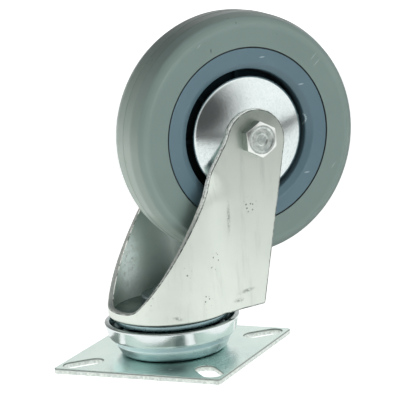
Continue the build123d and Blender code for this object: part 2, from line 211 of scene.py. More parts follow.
# %% Tree
class Tree:
    """A node tree under construction."""

    def __init__(self, tree):
        self.tree = tree

    def node(self, kind, settings=None, inputs=None, output=0):
        """Adds a node, gives it its settings and inputs, and returns one of its outputs."""
        made = self.tree.nodes.new(kind)
        for name, value in (settings or {}).items():
            setattr(made, name, value)
        for key, value in (inputs or {}).items():
            self.feed(made.inputs[key], value)
        return Wire(self, made.outputs[output])

    def end(self, kind, socket, value):
        """The tree's last node, which has no output of its own."""
        self.feed(self.tree.nodes.new(kind).inputs[socket], value)

    def feed(self, socket, value):
        """Links a wire to an input socket, or sets a constant there."""
        if isinstance(value, Wire):
            self.tree.links.new(value.socket, socket)
        else:
            socket.default_value = value

    def ramp(self, value, low, high):
        """0 below low, 1 above high, smooth between."""
        return self.node(
            "ShaderNodeMapRange",
            {"interpolation_type": "SMOOTHSTEP"},
            {"Value": value, "From Min": low, "From Max": high},
        )

    def blend(self, factor, first, second):
        """One colour where factor is 0, the other where it is 1."""
        first = first if isinstance(first, Wire) else (*first, 1.0)
        second = second if isinstance(second, Wire) else (*second, 1.0)
        return self.node("ShaderNodeMix", {"data_type": "RGBA"}, {0: factor, 6: first, 7: second}, output=2)

    def vector(self, operation, first, second=(0, 0, 0), output=0):
        return self.node("ShaderNodeVectorMath", {"operation": operation}, {0: first, 1: second}, output)

    def part(self, where, axis):
        """One coordinate of a vector: 0, 1 or 2."""
        return self.node("ShaderNodeSeparateXYZ", inputs={0: where}, output=axis)


print("trees can be built")

# %% [markdown]
# ## Studio
# White paper and a white room.  To the camera the room is pure white, and so it
# is in polished metal, except where no lamp reaches: a soft dark patch at the
# front, where the camera stands, and a dimmer stretch high up at the back left.
# Bright metal needs such patches, or it looks like paint.  The light that falls
# on the castor is plain and weak, weaker still from the ceiling and from that
# stretch at the back left.

# %% Who looks at the white
def sees_white(tree):
    """Two masks: 1 for the camera's, mirrored and passing rays, and 1 for the mirrored ones alone."""
    seen = tree.node("ShaderNodeLightPath", output="Is Camera Ray")
    mirrored = tree.node("ShaderNodeLightPath", output="Is Glossy Ray")
    through = tree.node("ShaderNodeLightPath", output="Is Transmission Ray")
    return (seen + mirrored + through).at_most(1.0), mirrored


print("rays can be told apart")

# %% The room
ROOM_LEVEL = 0.30
CEILING_SHARE = 0.30
ROOM_TINT = (0.94, 0.98, 1.0)
DIM_WAY = Vector((-0.78, 0.36, 0.51)).normalized()
DIM_SHARE = 0.7
DIM_FALLING = (0.3, 0.95)
DIM_MIRRORED = (0.80, 0.98)
DARK_LEVEL = 0.08
DARK_CENTRE = Vector((0.30, -0.84, 0.31)).normalized()
DARK_ACROSS = Vector((0.92, 0.39, 0.0)).normalized()
DARK_HALF_WIDTH = 0.60
DARK_HALF_HEIGHT = 0.48
DARK_EDGE = (0.55, 1.45)
DARK_BACK = (0.15, -0.15)

world = bpy.data.worlds.new("studio")
world.use_nodes = True
bpy.context.scene.world = world
world.node_tree.nodes.clear()
room = Tree(world.node_tree)
heading = room.node("ShaderNodeTexCoord", output="Generated")
across = room.vector("DOT_PRODUCT", heading, DARK_ACROSS, "Value") / DARK_HALF_WIDTH
rise = (room.part(heading, 2) - DARK_CENTRE.z) / DARK_HALF_HEIGHT
ahead = room.vector("DOT_PRODUCT", heading, DARK_CENTRE, "Value")
outside = room.ramp((across * across + rise * rise) ** 0.5, *DARK_EDGE)
behind = room.ramp(ahead, *DARK_BACK)
brightness = DARK_LEVEL + (1.0 - DARK_LEVEL) * outside.at_least(behind)
leftward = room.vector("DOT_PRODUCT", heading, DIM_WAY, "Value")
brightness = brightness * (1.0 - DIM_SHARE * room.ramp(leftward, *DIM_MIRRORED))
white, mirrored = sees_white(room)
mirror_level = 1.0 + mirrored * (brightness - 1.0)
falling = ROOM_LEVEL * (1.0 - (1.0 - CEILING_SHARE) * room.ramp(room.part(heading, 2), 0.0, 1.0))
falling = falling * (1.0 - DIM_SHARE * room.ramp(leftward, *DIM_FALLING))
ambient = room.node("ShaderNodeBackground", inputs={"Color": (*ROOM_TINT, 1.0), "Strength": falling})
paper_white = room.node("ShaderNodeBackground", inputs={"Color": (1, 1, 1, 1), "Strength": mirror_level})
lit_room = room.node("ShaderNodeMixShader", inputs={0: white, 1: ambient, 2: paper_white})
room.end("ShaderNodeOutputWorld", "Surface", lit_room)
print("room lit at", ROOM_LEVEL)

# %% [markdown]
# The paper on the floor is lit like any paper, so it keeps the castor's shadow,
# and a little glow for the camera's rays takes it to pure white, more of it
# further out.  In mirrored rays the paper falls off to the right, as it does
# where the light ends.

# %% The floor
FLOOR_HALF = 3.0
PAPER_COLOR = (0.84, 0.85, 0.85)
PAPER_GLOW = 0.82
PAPER_NEAR = 0.20
PAPER_FAR = 0.85
PAPER_FAR_LEVEL = 0.10
PAPER_DIM_WAY = (0.95, -0.30, 0.0)
PAPER_FADE = (0.4, 1.6)
PAPER_FADE_GLOW = 0.5

floor_mesh = bpy.data.meshes.new("floor")
corners = [(x * FLOOR_HALF, y * FLOOR_HALF, 0.0) for x, y in ((-1, -1), (1, -1), (1, 1), (-1, 1))]
floor_mesh.from_pydata(corners, [], [(0, 1, 2, 3)])
floor = added("floor", floor_mesh)

paper_material = bpy.data.materials.new("paper")
paper_material.use_nodes = True
paper_material.node_tree.nodes.clear()
paper = Tree(paper_material.node_tree)
spot = paper.node("ShaderNodeTexCoord", output="Object")
distance = paper.vector("LENGTH", spot, output="Value")
to_the_right = paper.vector("DOT_PRODUCT", spot, PAPER_DIM_WAY, "Value")
white, mirrored = sees_white(paper)
mirror_paper = 1.0 + paper.ramp(to_the_right, PAPER_NEAR, PAPER_FAR) * (PAPER_FAR_LEVEL - 1.0)
far_glow = PAPER_GLOW + PAPER_FADE_GLOW * paper.ramp(distance, *PAPER_FADE)
matt = paper.node("ShaderNodeBsdfDiffuse", inputs={"Color": (*PAPER_COLOR, 1.0)})
glow = paper.node("ShaderNodeEmission", inputs={"Color": (1, 1, 1, 1), "Strength": white * far_glow})
seen_paper = paper.node("ShaderNodeAddShader", inputs={0: matt, 1: glow})
mirror_glow = paper.node("ShaderNodeEmission", inputs={"Color": (1, 1, 1, 1), "Strength": mirror_paper})
surface = paper.node("ShaderNodeMixShader", inputs={0: mirrored, 1: seen_paper, 2: mirror_glow})
paper.end("ShaderNodeOutputMaterial", "Surface", surface)
floor_mesh.materials.append(paper_material)
print("paper", 2 * FLOOR_HALF, "m wide")

# %% [markdown]
# One large key lamp stands in front on the right, a little above the castor,
# and a weak one hangs overhead.  Two small warm strips lie low on the left, one
# close and one further back, so that the wheel's left side isn't lost in the
# dark.  No lamp shows as a shape in the metal or to the camera.

# %% Lamps
def lamp(name, place, aim, size, power, color):
    """A rectangular lamp that lights the castor but isn't seen."""
    data = bpy.data.lights.new(name, "AREA")
    data.shape = "RECTANGLE"
    data.size, data.size_y = size
    data.energy = power
    data.color = color
    made = added(name, data)
    turn = (Vector(aim) - Vector(place)).to_track_quat("-Z", "Y").to_matrix().to_4x4()
    made.matrix_world = Matrix.Translation(place) @ turn
    made.visible_glossy = False
    made.visible_camera = False


LAMP_AIM = (0.03, 0.03, 0.08)
STRIP_AIM = (0.0, 0.0, 0.07)
PLAIN = (1, 1, 1)
SUNNY = (1.0, 0.91, 0.87)
LAMPS = {
    "key_lamp": ((0.95, -0.65, 0.36), LAMP_AIM, (0.7, 0.7), 12.5, PLAIN),
    "top_lamp": ((0.35, 0.05, 1.25), LAMP_AIM, (0.9, 0.9), 1.0, PLAIN),
    "left_lamp": ((-0.10, -0.12, 0.012), STRIP_AIM, (0.10, 0.02), 0.24, SUNNY),
    "rim_lamp": ((-0.40, 0.0, 0.03), STRIP_AIM, (0.3, 0.06), 2.0, SUNNY),
}
for name, (place, aim, size, power, color) in LAMPS.items():
    lamp(name, place, aim, size, power, color)
print("lamps lit:", len(LAMPS))

# %% [markdown]
# ## Finishes
# A finish is one Principled surface and the nodes that feed it.  Constants are
# set on the shader's own sockets, and only what changes over a surface is wired.
# A mask is 1 where a stain or a scratch lies and 0 elsewhere, and `tint` lays a
# colour over what is there by a mask: ground first, marks last, as a painter
# works.
#
# A painted image could do the same, but it needs every piece unwrapped and shows
# a seam where the unwrapping ends.  Noise that is worked out from the place in
# space has no seam, runs on over every edge and stays sharp close to.

# %% Colour, gloss and grain
class Ground(Tree):
    """A material under construction, with the patterns its nodes are made of; sizes are in mm."""

    def __init__(self, name, color, roughness, metallic=0.0, **constants):
        self.material = bpy.data.materials.new(name)
        self.material.use_nodes = True
        super().__init__(self.material.node_tree)
        self.surface = self.tree.nodes["Principled BSDF"]
        self.surface.inputs["Base Color"].default_value = (*color, 1.0)
        self.surface.inputs["Roughness"].default_value = roughness
        self.surface.inputs["Metallic"].default_value = metallic
        for socket, value in constants.items():
            self.surface.inputs[socket.replace("_", " ")].default_value = value
        self.place = self.node("ShaderNodeTexCoord", output="Object")
        self.tone = color

    def noise(self, size, detail=2.0, roughness=0.5, where=None):
        """Soft blotches about size across, from 0 to 1."""
        inputs = {"Vector": where or self.place, "Scale": 1 / (size * MM)}
        inputs.update({"Detail": detail, "Roughness": roughness})
        return self.node("ShaderNodeTexNoise", inputs=inputs)

    def specks(self, size, share):
        """1 in round dots, one to a cell of that size; share is a dot's radius as a share of the cell."""
        cells = {"Vector": self.place, "Scale": 1 / (size * MM)}
        distance = self.node("ShaderNodeTexVoronoi", inputs=cells)
        return 1.0 - self.ramp(distance, share * 0.5, share)

    def wire(self, socket, value):
        """Feeds one of the surface's own sockets."""
        self.feed(self.surface.inputs[socket], value)

    def color(self, value):
        """Wires the base colour."""
        self.tone = value
        self.wire("Base Color", value)

    def tint(self, mask, color):
        """Lays a colour over the base colour by a mask."""
        self.color(self.blend(mask, self.tone, color))

    def roughness(self, value):
        self.wire("Roughness", value)

    def bump(self, height, depth):
        """Raises the surface by a pattern, depth mm for each 1 of it."""
        inputs = {"Height": height, "Distance": depth * MM, "Strength": 1.0}
        self.wire("Normal", self.node("ShaderNodeBump", inputs=inputs))


print("finishes can be mixed")

# %% [markdown]
# Most marks belong to a place: a band at some distance from an axis, a spot, a
# streak.  These are their masks.  A mark that is placed as the camera sees it
# is named by the pixel that its ray goes through.

# %% Masks with a place
class Finish(Ground):
    """A ground with masks that know their place; sizes are in mm, places and distances in metres."""

    def along(self, axis, scale):
        """The place in an axis's own frame, scaled there, for grain that runs one way."""
        local = axis.inverted()
        turn = local.to_euler()
        turned = self.node("ShaderNodeMapping", inputs={0: self.place, 1: local.translation, 2: turn})
        return self.node("ShaderNodeMapping", inputs={0: turned, 3: scale})

    def height(self):
        """Height over the floor."""
        return self.part(self.place, 2)

    def away(self, axis):
        """Distance from an axis."""
        flat = self.vector("MULTIPLY", self.along(axis, (1, 1, 1)), (1, 1, 0))
        return self.vector("LENGTH", flat, output="Value")

    def aside(self, axis):
        """Distance along an axis, from its middle to either side."""
        length = self.part(self.along(axis, (1, 1, 1)), 2)
        return length.maths("ABSOLUTE", length)

    def beyond(self, distance, low, high):
        """0 where a distance is below low, 1 where it is above high, smooth between."""
        return self.ramp(distance, low * MM, high * MM)

    def near(self, centre, size, direction=None, length=None):
        """1 at a place, fading to 0 at size from it, or at length along a direction if one is given."""
        offset = self.vector("SUBTRACT", self.place, centre)
        if direction is not None:
            way = Vector(direction).normalized()
            run = self.vector("DOT_PRODUCT", offset, way, "Value")
            pull = {0: tuple(way), "Scale": run * (1.0 - size / length)}
            pulled = self.node("ShaderNodeVectorMath", {"operation": "SCALE"}, pull)
            offset = self.vector("SUBTRACT", offset, pulled)
        return 1.0 - self.ramp(self.vector("LENGTH", offset, output="Value"), 0.0, size * MM)

    def spot(self, node, pixel, size, direction=None, length=None):
        """near(), where a pixel's ray meets a node."""
        return self.near(place_at(node, *pixel), size, direction, length)

    def streak(self, node, pixels, size, share):
        """near(), along the line between two pixels' places; share is how much of it each side gets."""
        start, end = [place_at(node, *pixel) for pixel in pixels]
        line = end - start
        return self.near((start + end) / 2, size, line, line.length * share / MM)


print("masks can be placed")

# %% [markdown]
# ## Turned pieces
# Most of a castor is turned, pressed or moulded round: tyre, wheel centre,
# guards, cup, washer, race and pin.  Each is one outline spun about its axis.
# The outline is a chain of corners, each with its own rounding, because every
# real edge is round: that thin round edge is what catches the light.  A support
# point just outside each round keeps the flat beside it flat under smooth
# shading.

# %% Rounded outlines
ARC_STEP = radians(16)
SUPPORT = 0.2
SUPPORT_ROOM = 3 * SUPPORT


def rounded(corners, closed=True):
    """A line through corners, each (radius, length, rounding) in mm, as points in metres."""
    count = len(corners)
    places = [Vector(corner[:2]) for corner in corners]
    cuts = [0.0] * count
    for index, here in enumerate(places):
        if corners[index][2] > 0:
            back = places[index - 1] - here
            onward = places[(index + 1) % count] - here
            cuts[index] = corners[index][2] / tan(back.angle(onward) / 2)
    points = []
    for index, here in enumerate(places):
        if cuts[index] == 0:
            points.append(here)
            continue
        following = (index + 1) % count
        back = places[index - 1] - here
        onward = places[following] - here
        free_back = back.length - cuts[index] - cuts[index - 1]
        free_onward = onward.length - cuts[index] - cuts[following]
        back.normalize()
        onward.normalize()
        rounding = corners[index][2]
        centre = here + (back + onward).normalized() * sqrt(cuts[index] ** 2 + rounding**2)
        spoke = here + back * cuts[index] - centre
        turn = (pi - back.angle(onward)) * (-1 if back.cross(onward) > 0 else 1)
        steps = max(2, ceil(abs(turn) / ARC_STEP))
        if free_back > SUPPORT_ROOM:
            points.append(here + back * (cuts[index] + SUPPORT))
        for step in range(steps + 1):
            points.append(centre + Matrix.Rotation(turn * step / steps, 2) @ spoke)
        if free_onward > SUPPORT_ROOM:
            points.append(here + onward * (cuts[index] + SUPPORT))
    if closed:
        points.append(points[0])
    return [point * MM for point in points]


square = rounded([(0, 0, 1), (10, 0, 1), (10, 10, 1), (0, 10, 1)])
print("a square of 10 with rounding 1 has", len(square), "points")

# %% Arcs in an outline
def arc_line(centre, radius, start, end, steps):
    """Corners along an arc, as (radius, length, no rounding) in mm."""
    angles = [start + (end - start) * step / steps for step in range(steps + 1)]
    return [(centre[0] + radius * cos(angle), centre[1] + radius * sin(angle), 0) for angle in angles]


print("a quarter in 4 steps has", len(arc_line((0, 0), 1, 0, pi / 2, 4)), "points")

# %% [markdown]
# The spinning is a Geometry Nodes tree.  A Screw modifier could spin an outline
# too, but a tree trims a hexagon in the same go, and one tree serves all the
# turned pieces.  A recipe is such a tree with its named inputs, and cooking it
# runs it on a mesh and keeps what comes out as a plain mesh.

# %% Recipes
class Recipe(Tree):
    """A Geometry Nodes tree with named inputs."""

    def __init__(self, name, sizes):
        super().__init__(bpy.data.node_groups.new(name, "GeometryNodeTree"))
        interface = self.tree.interface
        interface.new_socket("Geometry", in_out="INPUT", socket_type="NodeSocketGeometry")
        for label, kind in sizes.items():
            interface.new_socket(label, in_out="INPUT", socket_type=f"NodeSocket{kind}")
        interface.new_socket("Finish", in_out="INPUT", socket_type="NodeSocketMaterial")
        interface.new_socket("Geometry", in_out="OUTPUT", socket_type="NodeSocketGeometry")
        self.given = self.tree.nodes.new("NodeGroupInput")

    def size(self, label):
        return Wire(self, self.given.outputs[label])

    def serve(self, geometry):
        """Ends the tree: smooth, real geometry with its finish."""
        smooth = self.node("GeometryNodeSetShadeSmooth", inputs={"Geometry": geometry})
        real = self.node("GeometryNodeRealizeInstances", inputs={"Geometry": smooth})
        finish = self.size("Finish")
        dressed = self.node("GeometryNodeSetMaterial", inputs={"Geometry": real, "Material": finish})
        self.end("NodeGroupOutput", 0, dressed)


print("recipes can be written")

# %% Cooking a recipe
def plain_mesh(worker):
    """What a worker object's modifier or curve makes, as a plain mesh; the worker goes."""
    bpy.context.view_layer.update()
    evaluated = worker.evaluated_get(bpy.context.evaluated_depsgraph_get())
    mesh = bpy.data.meshes.new_from_object(evaluated)
    bpy.data.objects.remove(worker)
    return mesh


def cook(name, recipe, source, **sizes):
    """Runs a recipe on a source mesh and returns the result as a plain mesh."""
    worker = added(name, source)
    modifier = worker.modifiers.new("recipe", "NODES")
    modifier.node_group = recipe.tree
    for item in recipe.tree.interface.items_tree:
        label = item.name.replace(" ", "_").lower()
        if item.in_out == "INPUT" and label in sizes:
            modifier[item.identifier] = sizes[label]
    mesh = plain_mesh(worker)
    mesh.name = name
    mesh.materials.clear()
    mesh.materials.append(sizes["finish"])
    for face in mesh.polygons:
        face.material_index = 0
    return mesh


print("recipes can be cooked")

# %% [markdown]
# The lathe's grid has one row for each step round the axis and one column for
# each point of the outline.  Every grid point looks up its outline point and
# turns by its row's angle.  `Across Flats` trims what stands outside a hexagon,
# and that turns a chamfered disc into a bolt's head.

# %% The lathe
FULL_TURN = 2 * pi
HALF_SIDE = pi / 6
WELD = 2e-6
lathe = Recipe("lathe", {"Steps": "Int", "Across Flats": "Float"})
outline = lathe.size("Geometry")
points = lathe.node("GeometryNodeAttributeDomainSize", inputs={"Geometry": outline}, output="Point Count")
columns = lathe.size("Steps") + 1.0
grid = lathe.node("GeometryNodeMeshGrid", inputs={"Vertices X": columns, "Vertices Y": points})
index = lathe.node("GeometryNodeInputIndex")
row = lathe.node("ShaderNodeMath", {"operation": "FLOOR"}, {0: (index + 0.5) / points})
angle = row / lathe.size("Steps") * FULL_TURN
position = lathe.node("GeometryNodeInputPosition")
picked = lathe.node(
    "GeometryNodeSampleIndex",
    {"data_type": "FLOAT_VECTOR"},
    {"Geometry": outline, "Value": position, "Index": index - row * points},
)
reach = lathe.part(picked, 0)
sector = angle.maths("PINGPONG", angle, HALF_SIDE)
side = lathe.size("Across Flats") * 0.5 / sector.maths("COSINE", sector)
trimmed = reach.at_most(side)
local = {"X": trimmed * angle.maths("COSINE", angle), "Y": trimmed * angle.maths("SINE", angle)}
spun = lathe.node("ShaderNodeCombineXYZ", inputs={**local, "Z": lathe.part(picked, 2)})
moved = lathe.node("GeometryNodeSetPosition", inputs={"Geometry": grid, "Position": spun})
lathe.serve(lathe.node("GeometryNodeMergeByDistance", inputs={"Geometry": moved, "Distance": WELD}))
print("lathe has", len(lathe.tree.nodes), "nodes")

# %% [markdown]
# `turned` spins an outline and moves it to its axis.  `piece_for` joins the
# meshes of a piece into one object, which stands for the model's node, rides on
# the node's body and takes its meshes' finishes.  It also measures how far the
# piece reaches past the solid.  A piece that isn't a hexagon is `UNTRIMMED`:
# its flats are a metre apart and trim nothing.

# %% Turning
UNTRIMMED = 1.0
TURN_STEPS = 192


def facing_out(mesh):
    """Merges a mesh's doubles, closes its poles and points its faces outwards."""
    shell = bmesh.new()
    shell.from_mesh(mesh)
    bmesh.ops.remove_doubles(shell, verts=shell.verts, dist=WELD)
    bmesh.ops.dissolve_degenerate(shell, edges=shell.edges, dist=WELD)
    bmesh.ops.recalc_face_normals(shell, faces=shell.faces)
    shell.to_mesh(mesh)
    shell.free()


def turned(name, outline, axis, finish, steps=TURN_STEPS, across_flats=UNTRIMMED, turn=0.0):
    """A turned mesh in its place: the outline spun about an axis of the frame."""
    source = bpy.data.meshes.new(name)
    edges = [(first, first + 1) for first in range(len(outline) - 1)]
    source.from_pydata([(point.x, 0.0, point.y) for point in outline], edges, [])
    mesh = cook(name, lathe, source, steps=steps, across_flats=across_flats, finish=finish.material)
    facing_out(mesh)
    mesh.transform(axis @ Matrix.Rotation(turn, 4, "Z"))
    return mesh


print("outlines can be turned, in", TURN_STEPS, "steps")

# %% A piece for a node
def piece_for(node, *meshes):
    """One object from its meshes that stands for a node, on the node's body and with its meshes' finishes."""
    shell = bmesh.new()
    finishes = []
    for mesh in meshes:
        start = len(shell.faces)
        shell.from_mesh(mesh)
        shell.faces.ensure_lookup_table()
        for face in shell.faces[start:]:
            face.material_index += len(finishes)
        finishes.extend(mesh.materials)
    joined = bpy.data.meshes.new(node + "_look")
    shell.to_mesh(joined)
    shell.free()
    for finish in finishes:
        joined.materials.append(finish)
    piece = added(node + "_look", joined)
    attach(piece, body_of[node])
    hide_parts(node)
    lowest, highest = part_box(node)
    spots = [vertex.co for vertex in joined.vertices]
    below = [lowest[axis] - min(spot[axis] for spot in spots) for axis in range(3)]
    above = [max(spot[axis] for spot in spots) - highest[axis] for axis in range(3)]
    print(f"{node}: {len(joined.polygons)} faces, {max(below + above) / MM:+.2f} mm past its solid")


# %% [markdown]
# Balls and ribs repeat round an axis.  A second tree puts one copy of its input
# on each point of a circle and turns it to face outwards, so a row is one
# template and a count.  A ball comes from an icosahedron and not from a globe of
# rings, because its faces are all of about one size and none meet at a pole.

# %% The ring
BALL_DIVISIONS = 3
ring = Recipe("ring", {"Count": "Int", "Radius": "Float"})
count = ring.size("Count")
circle = ring.node("GeometryNodeMeshCircle", inputs={"Vertices": count, "Radius": ring.size("Radius")})
turn = ring.node("GeometryNodeInputIndex") / count * FULL_TURN
facing = ring.node("ShaderNodeCombineXYZ", inputs={"Z": turn})
placed = {"Points": circle, "Instance": ring.size("Geometry"), "Rotation": facing}
ring.serve(ring.node("GeometryNodeInstanceOnPoints", inputs=placed))


def ringed(name, template, count, radius, axis, finish):
    """Copies of a template mesh round an axis, in their place."""
    mesh = cook(name, ring, template, count=count, radius=radius * MM, finish=finish.material)
    mesh.transform(axis)
    return mesh


def ball(radius):
    """A ball at the origin, from an icosahedron."""
    mesh = bpy.data.meshes.new("ball")
    shell = bmesh.new()
    bmesh.ops.create_icosphere(shell, subdivisions=BALL_DIVISIONS, radius=radius * MM)
    shell.to_mesh(mesh)
    shell.free()
    return mesh


print("ring has", len(ring.tree.nodes), "nodes")

# %% [markdown]
# ## Rubber
# The tyre is grey thermoplastic rubber, moulded, with a dull gloss.  Its colour
# is even, so the detail is small: faint flow blotches, a few dark specks of
# dirt, and dull scuffs that are drawn out round the tread.

# %% Rubber finish
RUBBER_DARK = (0.140, 0.192, 0.176)
RUBBER_LIGHT = (0.178, 0.236, 0.218)
SPECK_COLOR = (0.05, 0.06, 0.055)
SCUFF_STRETCH = (1, 1, 3)

rubber = Finish("grey_rubber", (0.20, 0.26, 0.24), 0.42, Specular_IOR_Level=0.32)
flow = rubber.noise(30.0, 3.0)
fine = rubber.noise(1.1, 4.0, 0.6)
rubber.color(rubber.blend(flow, RUBBER_DARK, RUBBER_LIGHT))
dirt = rubber.specks(16.0, 0.024) + rubber.specks(9.0, 0.016)
rubber.tint((dirt * 0.65).at_most(1.0), SPECK_COLOR)
scuffs = rubber.noise(10.0, 6.0, 0.72, rubber.along(AXLE, SCUFF_STRETCH))
rubber.roughness(0.30 + 0.10 * fine + 0.16 * rubber.ramp(scuffs, 0.52, 0.72))
rubber.bump(fine * 0.6 + flow, 0.06)
print("rubber", len(rubber.tree.nodes), "nodes")

# %% [markdown]
# ## Tyre
# The sidewall is nearly flat and ends in a soft crest, from which the shoulder
# falls away to the tread.  The mould leaves a thin ridge round the middle of the
# tread, and the tyre's lip rolls in to meet the plastic in a groove, which is
# painted dark with shade.  The outline is drawn for one half and mirrored, and
# its sizes start from the solid's own radii and ends.

# %% The tyre's line
TYRE_LIP = 1.4
TYRE_SEAT_DEPTH = 2.4
TYRE_KEY_HEIGHT = 3.0
TYRE_KEY_HALF_WIDTH = 6.0
SIDEWALL_DISH = 0.45
CREST_INSIDE = 6.0
SHOULDER_INSIDE = 2.3
SHOULDER_DROP = 2.1
TREAD_EDGE = 8.0
RIDGE = 0.16

lip_radius, wheel_radius, _, half_tread = spans("tyre", AXLE)
seat_radius = lip_radius + TYRE_LIP
half_tyre = [
    (seat_radius + TYRE_KEY_HEIGHT, TYRE_KEY_HALF_WIDTH, 0.3),
    (seat_radius, TYRE_KEY_HALF_WIDTH, 0.3),
    (seat_radius, half_tread - TYRE_SEAT_DEPTH, 0.2),
    (lip_radius, half_tread - TYRE_SEAT_DEPTH, 0.2),
    (lip_radius, half_tread - SIDEWALL_DISH, 0.55),
    (wheel_radius - CREST_INSIDE, half_tread, 1.6),
    (wheel_radius - SHOULDER_INSIDE, half_tread - SHOULDER_DROP, 2.6),
    (wheel_radius - 2 * RIDGE, half_tread - TREAD_EDGE, 6.0),
    (wheel_radius - RIDGE, 2 * RIDGE, 0.2),
    (wheel_radius, RIDGE / 2, 0.04),
]
other_half = [(reach, -length, rounding) for reach, length, rounding in reversed(half_tyre)]
print("tyre of radius", round(wheel_radius, 2), "and half width", round(half_tread, 2), "mm")

# %% [markdown]
# Now the rubber gets the marks that need these sizes.  The groove beside the
# plastic is painted black with shade, the tread is painted a little darker than
# the sidewall as shade, and the crest between them carries a painted highlight.
# Dirt and scratches are placed one by one.

# %% Tyre
GROOVE_SHADE_WIDTH = 0.55
GROOVE_SHADE_COLOR = (0.012, 0.016, 0.016)
TREAD_FADE = (2.5, 0.5)
TREAD_SHADE = 0.12
TREAD_SHADE_COLOR = (0.05, 0.07, 0.06)
CREST_WIDTH = 2.2
CREST_HIGHLIGHT = 0.13
CREST_HIGHLIGHT_COLOR = (0.27, 0.34, 0.31)
DIRT_PIXELS = ((211, 51), (228, 17), (236, 22), (134, 122), (152, 60), (316, 97))
DIRT_WIDTH = 0.7
DIRT_LENGTH = 1.6
DIRT_COLOR = (0.03, 0.04, 0.035)
SCRATCH_PIXELS = (
    ((309, 62), (318, 50)),
    ((312, 68), (321, 57)),
    ((196, 50), (202, 43)),
    ((330, 170), (337, 160)),
)
SCRATCH_WIDTH = 0.45
SCRATCH_SHARE = 0.5
SCRATCH_COLOR = (0.42, 0.50, 0.47)
TYRE_STEPS = 256

away = rubber.away(AXLE)
groove_shade = 1.0 - rubber.beyond(away, lip_radius + 0.5 * GROOVE_SHADE_WIDTH, lip_radius + GROOVE_SHADE_WIDTH)
# Painted shade: the groove beside the plastic is coloured black.
rubber.tint(groove_shade, GROOVE_SHADE_COLOR)
for pixel in DIRT_PIXELS:
    rubber.tint(rubber.spot("tyre", pixel, DIRT_WIDTH, up, DIRT_LENGTH) * 0.8, DIRT_COLOR)
for pixels in SCRATCH_PIXELS:
    rubber.tint(rubber.streak("tyre", pixels, SCRATCH_WIDTH, SCRATCH_SHARE) * 0.45, SCRATCH_COLOR)
# Painted shade: the tread is coloured darker than the sidewall.
tread_shade = 1.0 - rubber.beyond(rubber.aside(AXLE), half_tread - TREAD_FADE[0], half_tread - TREAD_FADE[1])
rubber.tint(tread_shade * TREAD_SHADE, TREAD_SHADE_COLOR)
# Painted highlight: a pale ring along the crest.
off_crest = (away - (wheel_radius - CREST_INSIDE) * MM) / (CREST_WIDTH * MM)
crest_highlight = 1.0 - rubber.ramp(off_crest * off_crest, 0.0, 1.0)
rubber.tint(crest_highlight * CREST_HIGHLIGHT, CREST_HIGHLIGHT_COLOR)
tyre_mesh = turned("tyre", rounded(half_tyre + other_half), AXLE, rubber, steps=TYRE_STEPS)
piece_for("tyre", tyre_mesh)

# %% [markdown]
# ## Plastic
# The wheel's centre is blue-grey polypropylene, with a soft sheen, fine moulding
# grain and a few pale specks.

# %% Plastic finish
PLASTIC_DARK = (0.070, 0.125, 0.152)
PLASTIC_LIGHT = (0.100, 0.160, 0.188)
PLASTIC_SPECK = (0.35, 0.42, 0.45)

plastic = Finish("blue_grey_plastic", (0.13, 0.19, 0.23), 0.34, Specular_IOR_Level=0.55)
grain = plastic.noise(1.4, 4.0, 0.6)
cloud = plastic.noise(22.0, 3.0)
plastic.color(plastic.blend(cloud, PLASTIC_DARK, PLASTIC_LIGHT))
plastic.tint(plastic.specks(10.0, 0.022) * 0.5, PLASTIC_SPECK)
plastic.bump(grain + cloud, 0.05)
print("plastic", len(plastic.tree.nodes), "nodes")

# %% [markdown]
# ## Wheel centre
# One moulding: a band inside the tyre, a slope down to a deep recess, a web and
# a hub.  The outline is drawn for one half and mirrored, like the tyre's.

# %% The wheel centre's line
RIM_RECESS = 0.6
RIM_BAND = 7.5
RIM_SLOPE_HEIGHT = 3.3
RIM_SLOPE_DEPTH = 2.6
RIM_DRAFT = 1.0
HUB_WALL = 2.6
HALF_WEB = 3.5

hub_bore, key_radius, _, hub_end = spans("wheel_centre", AXLE)
rim_radius = key_radius - TYRE_KEY_HEIGHT - TYRE_LIP
rim_end = half_tread - RIM_RECESS
band_radius = rim_radius - RIM_BAND
wall_radius = band_radius - RIM_SLOPE_HEIGHT
root_radius = wall_radius - RIM_DRAFT
hub_radius = hub_bore + HUB_WALL
half_centre = [
    (hub_bore, hub_end, 0.4),
    (hub_radius, hub_end, 0.5),
    (hub_radius, HALF_WEB, 1.0),
    (root_radius, HALF_WEB, 1.2),
    (wall_radius, rim_end - RIM_SLOPE_DEPTH, 1.6),
    (band_radius, rim_end, 1.8),
    (rim_radius, rim_end, 0.5),
    (rim_radius, half_tread - TYRE_SEAT_DEPTH, 0.2),
    (rim_radius + TYRE_LIP, half_tread - TYRE_SEAT_DEPTH, 0.2),
    (rim_radius + TYRE_LIP, TYRE_KEY_HALF_WIDTH, 0.2),
    (key_radius, TYRE_KEY_HALF_WIDTH, 0.2),
]
other_half = [(reach, -length, rounding) for reach, length, rounding in reversed(half_centre)]
centre_mesh = turned("wheel_centre", rounded(half_centre + other_half), AXLE, plastic)
print("wheel centre of", len(centre_mesh.polygons), "faces before its ribs")

# %% [markdown]
# The recess is in deep shade and duller than the band, and so is the groove at
# the rubber.  Beside the thread guard lies a pale crescent, and three small
# painted glints lie on the moulding.

# %% Marks on the wheel centre
RECESS_FADE = (9.0, 2.6)
GROOVE_FADE = (0.8, 0.3)
SHADE_COLOR = (0.001, 0.005, 0.007)
CRESCENT_PIXELS = (
    (303, 114),
    (304.6, 115),
    (305.6, 116.8),
    (305.9, 118.8),
    (305.2, 120.8),
    (304, 122.4),
    (302.8, 123.6),
)
CRESCENT_WIDTH = 0.75
CRESCENT_COLOR = (0.50, 0.62, 0.62)
GLINT_PIXELS = ((301, 84), (307, 172), (262, 57))
GLINT_WIDTH = 0.5
GLINT_LENGTH = 2.2
GLINT_COLOR = (0.60, 0.70, 0.72)

